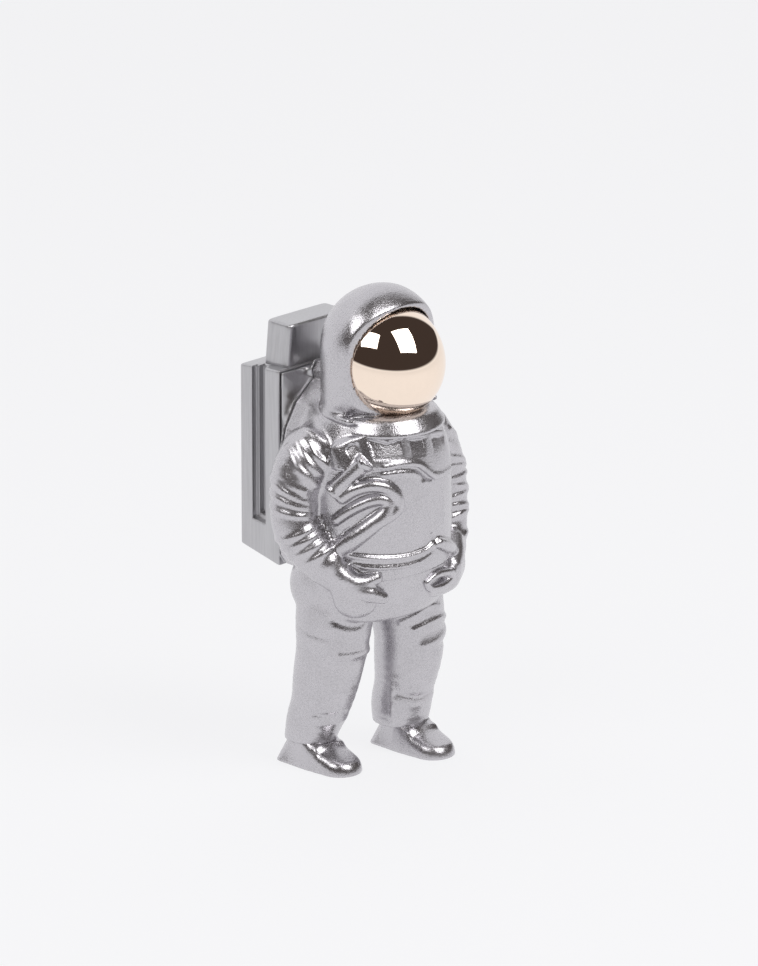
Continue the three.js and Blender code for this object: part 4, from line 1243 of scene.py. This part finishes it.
class STATUETTE_OT_boots(StatuettePiece, bpy.types.Operator):
    """Two boots with creased insteps"""

    bl_idname = "statuette.boots"
    bl_label = "Boots"

    def build(self, sizes):
        for name, side in (("boot_right", RIGHT), ("boot_left", LEFT)):
            field, low, high = boot(side)
            cast(name, field, low, high, mesh_cell(sizes, FINER_BOOTS), material("tumbled_zinc"), "figure",
                 ["suit_casting"])


class STATUETTE_OT_pack(StatuettePiece, bpy.types.Operator):
    """Backpack's shell with a stepped channel down each side"""

    bl_idname = "statuette.pack"
    bl_label = "Backpack shell"

    def build(self, sizes):
        rings = shell_rings(sizes.edge / UNIT)
        stack, faces = closed_rings(rings, (0.75, 0.5, 0.25, 0), (1, 0, 0), np.zeros(3))
        vertices, kept = welded(lean(stack), faces)
        piece("pack_body", vertices, kept, material("satin_zinc"), "backpack", ["pack_shell"])


class STATUETTE_OT_saddle(StatuettePiece, bpy.types.Operator):
    """Saddle that blends from the body's outline to the backpack's, with its pockets"""

    bl_idname = "statuette.saddle"
    bl_label = "Saddle"

    def build(self, sizes):
        low, high = (-15.8, 10.6, 38.6), (15.8, 14.4, 83.2)
        cast("saddle", saddle, low, high, mesh_cell(sizes, FINER_SADDLE),
             material("satin_zinc"), "backpack", ["pack_saddle"])


RING_POINTS = 96
CORNER_POWER = 0.16  # the lower it is, the squarer the box's corners
TOP_UNIT_SEAT = 0.55  # how far the top unit sinks into the shell
TOP_UNIT_EDGE, TOP_UNIT_FLARE = 1.3, 0.9


def soft_box(low, high, edge, flare):
    """Rings of a soft-edged box whose sides flare to its foot: superellipses under a quarter-circle rim."""
    turn = np.linspace(0, 2 * np.pi, RING_POINTS, endpoint=False) + np.pi / RING_POINTS
    across = np.sign(np.cos(turn)) * np.abs(np.cos(turn)) ** CORNER_POWER
    along = np.sign(np.sin(turn)) * np.abs(np.sin(turn)) ** CORNER_POWER
    quarter = np.linspace(0, np.pi / 2, 7)
    height = high[2] - low[2]
    rows = [(level, 0.0) for level in np.linspace(0, height - edge, 12)]
    rows += [(height - edge + edge * math.sin(a), edge * (1 - math.cos(a))) for a in quarter[1:]]
    rings = []
    for level, inset in rows:
        wider = flare * (1 - level / height)
        x = (low[0] + high[0]) / 2 + ((high[0] - low[0]) / 2 - inset + wider) * across
        y = (low[1] + high[1]) / 2 + ((high[1] - low[1]) / 2 - inset) * along
        rings.append(np.column_stack([x, y, np.full(len(x), low[2] + level)]))
    return np.array(rings)


class STATUETTE_OT_top_unit(StatuettePiece, bpy.types.Operator):
    """Soft-edged box on the backpack, a little wider at its foot"""

    bl_idname = "statuette.top_unit"
    bl_label = "Top unit"

    def build(self, sizes):
        low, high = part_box("pack_top_unit")
        low, high = (np.array(low) - ORIGIN) / UNIT, (np.array(high) - ORIGIN) / UNIT
        low[2] = PACK_TOP - TOP_UNIT_SEAT
        rings = soft_box(low, high, sizes.edge / UNIT * TOP_UNIT_EDGE, TOP_UNIT_FLARE)
        stack, faces = closed_rings(rings, (0.75, 0.4, 0), (1, 1, 0), (low + high) / 2)
        vertices, kept = welded(stack, faces)
        piece("top_unit", vertices, kept, material("satin_zinc"), "backpack", ["pack_top_unit"])


class STATUETTE_OT_hardware(StatuettePiece, bpy.types.Operator):
    """Magnets, dowels and screws: turned profiles in place of the plain ones, and finishes for the rest"""

    bl_idname = "statuette.hardware"
    bl_label = "Magnets, dowels and screws"

    def build(self, sizes):
        for name, body in (("body_magnet", "figure"), ("pack_magnet", "backpack")):
            for level in ("upper", "lower"):
                self.turned(f"{name}_{level}", body, "nickel", 0.25)
        for side in ("right", "left"):
            self.turned(f"dowel_{side}", "backpack", "steel", 0.5)
        for level in ("upper", "lower"):
            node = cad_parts[f"saddle_screw_{level}"]
            node.data.materials.clear()
            node.data.materials.append(material("steel"))

    def turned(self, node, body, finish, edge):
        """A disc or pin along y, both its rims rounded by a quarter circle."""
        low, high = ((np.array(corner) - ORIGIN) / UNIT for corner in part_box(node))
        radius, half = (high[0] - low[0]) / 2, (high[1] - low[1]) / 2
        quarter = np.linspace(0, np.pi / 2, 6)
        rim = [(radius - edge * (1 - math.sin(a)), half - edge * (1 - math.cos(a))) for a in quarter]
        profile = [(0, -half)] + [(r, -h) for r, h in rim] + [(r, h) for r, h in reversed(rim)] + [(0, half)]
        points, faces = lathe(profile, 72, (low + high) / 2)
        vertices, kept = welded(points, faces)
        piece(node + "_turned", vertices, kept, material(finish), body, [node])


# ---------------------------------------------------------------------------------------------------------
# Stage.

VIEW_SIDE = -45.0  # degrees from the figure's front towards its right hand
VIEW_RISE = 18.4
VIEW_AIM = np.array([1.2, -1.2, 57.8])
VIEW_DISTANCE = 1.6
SENSOR = 36.0
PICTURE_WIDTH = 151.42  # the figure's millimetres across the picture
SOFTBOX_DISTANCE = 0.8
SOFTBOXES = [
    # name, side, rise, roll, size, power
    ("softbox_wide", 16.0, 49.0, -22.0, (0.46, 0.54), 3.4),
    ("softbox_small", -89.0, 51.0, 16.0, (0.46, 0.38), 1.8),
]
FLOOR_REACH = 6.0
FLOOR_GLOW = 0.868
PALE, DARK = (0.93, 0.93, 0.945), (0.05, 0.038, 0.034)
PALE_BEHIND = (164.0, 24.0)  # side and rise of the middle of the pale wall behind the figure


def towards(side, rise):
    """Unit vector to a place at an angle round the figure from its front and an angle above the floor."""
    a, e = math.radians(side), math.radians(rise)
    return Vector((math.sin(a) * math.cos(e), -math.cos(a) * math.cos(e), math.sin(e)))


def facing(obj, target):
    """Turns a camera or a light to look at a place."""
    obj.rotation_euler = (Vector(target) - obj.location).to_track_quat("-Z", "Y").to_euler()


class STATUETTE_OT_stage(StatuettePiece, bpy.types.Operator):
    """Camera, pale floor, softboxes and a studio that is pale round the horizon and dark above"""

    bl_idname = "statuette.stage"
    bl_label = "Stage"

    def build(self, sizes):
        aim = Vector(ORIGIN + VIEW_AIM * UNIT)
        self.camera(aim)
        self.floor()
        for softbox in SOFTBOXES:
            self.softbox(aim, *softbox)
        self.world()

    def camera(self, aim):
        camera = bpy.data.objects.new("camera", bpy.data.cameras.new("camera"))
        camera.data.sensor_fit = "HORIZONTAL"
        camera.data.sensor_width = SENSOR
        camera.data.lens = SENSOR * VIEW_DISTANCE / (PICTURE_WIDTH * UNIT)
        camera.data.clip_start = 0.05
        camera.data.clip_end = 50
        camera.location = aim + towards(VIEW_SIDE, VIEW_RISE) * VIEW_DISTANCE
        facing(camera, aim)
        bpy.context.scene.collection.objects.link(camera)
        bpy.context.scene.camera = camera

    def softbox(self, aim, name, side, rise, roll, size, power):
        light = bpy.data.lights.new(name, "AREA")
        light.shape = "RECTANGLE"
        light.size, light.size_y = size
        light.energy = power
        made = bpy.data.objects.new(name, light)
        made.location = aim + towards(side, rise) * SOFTBOX_DISTANCE
        facing(made, aim)
        made.rotation_euler.rotate_axis("Z", math.radians(roll))
        made.visible_camera = False
        bpy.context.scene.collection.objects.link(made)

    def floor(self):
        size, level = FLOOR_REACH, ORIGIN[2]
        mesh = bpy.data.meshes.new("floor")
        corners = [(-size, -size, level), (size, -size, level), (size, size, level), (-size, size, level)]
        mesh.from_pydata(corners, [], [(0, 1, 2, 3)])
        made = bpy.data.objects.new("floor", mesh)
        bpy.context.scene.collection.objects.link(made)
        f = new_finish("floor")
        colour = tuple(bpy.context.scene.statuette_colours.floor)
        cloud = f.noise(f.place(), 400.0, 2.0)
        mesh.materials.append(f.set(
            Base_Color=f.mixed(cloud, shade(colour, 0.12), shade(colour, 0.13)),
            Roughness=0.8,
            Emission_Color=(*colour, 1),
            Emission_Strength=FLOOR_GLOW,
            Specular_IOR_Level=0.1,
        ))

    def world(self):
        """Directions near the horizon and behind the figure are pale, those above and before it are dark,
        and the camera itself sees only the pale colour."""
        f = Finish(bpy.data.worlds.new("studio"))
        bpy.context.scene.world = f.owner
        background = f.tree.nodes["Background"]
        way = f.node("ShaderNodeTexCoord", {}).outputs["Generated"]

        def along(direction):
            made = f.node("ShaderNodeVectorMath", {"operation": "DOT_PRODUCT"}, way, tuple(direction))
            return Maths(f, made.outputs["Value"])

        behind = along(towards(*PALE_BEHIND)).held(0.49, 0.55)
        above = along((0, 0, 1)).held(0.0, 0.07)
        seen = Maths(f, f.node("ShaderNodeLightPath", {}).outputs["Is Camera Ray"])
        f.put(background.inputs["Color"], f.mixed((1 - behind) * above * (1 - seen), PALE, DARK))
        f.put(background.inputs["Strength"], 1.0)


class STATUETTE_PT_panel(bpy.types.Panel):
    """Lists the statuette's sizes, colours and pieces"""

    bl_idname = "STATUETTE_PT_panel"
    bl_label = "Astronaut statuette"
    bl_space_type = "VIEW_3D"
    bl_region_type = "UI"
    bl_category = "Statuette"

    def draw(self, context):
        scene = context.scene
        for group in (scene.statuette_sizes, scene.statuette_colours):
            box = self.layout.box()
            for key in group.bl_rna.properties.keys():
                if key not in ("rna_type", "name"):
                    box.prop(group, key)
        for operator in OPERATORS:
            self.layout.operator(operator.bl_idname)


OPERATORS = (
    STATUETTE_OT_stage,
    STATUETTE_OT_helmet,
    STATUETTE_OT_visor,
    STATUETTE_OT_jacket,
    STATUETTE_OT_trousers,
    STATUETTE_OT_boots,
    STATUETTE_OT_pack,
    STATUETTE_OT_saddle,
    STATUETTE_OT_top_unit,
    STATUETTE_OT_hardware,
)
CLASSES = (StatuetteSizes, StatuetteColours, *OPERATORS, STATUETTE_PT_panel)


def register():
    for cls in CLASSES:
        bpy.utils.register_class(cls)
    bpy.types.Scene.statuette_sizes = bpy.props.PointerProperty(type=StatuetteSizes)
    bpy.types.Scene.statuette_colours = bpy.props.PointerProperty(type=StatuetteColours)


def unregister():
    del bpy.types.Scene.statuette_colours
    del bpy.types.Scene.statuette_sizes
    for cls in reversed(CLASSES):
        bpy.utils.unregister_class(cls)


def main():
    register()
    bpy.context.scene.view_settings.view_transform = "Standard"
    for operator in OPERATORS:
        group, name = operator.bl_idname.split(".")
        getattr(getattr(bpy.ops, group), name)()
    bpy.context.view_layer.update()


if __name__ == "__main__":
    main()
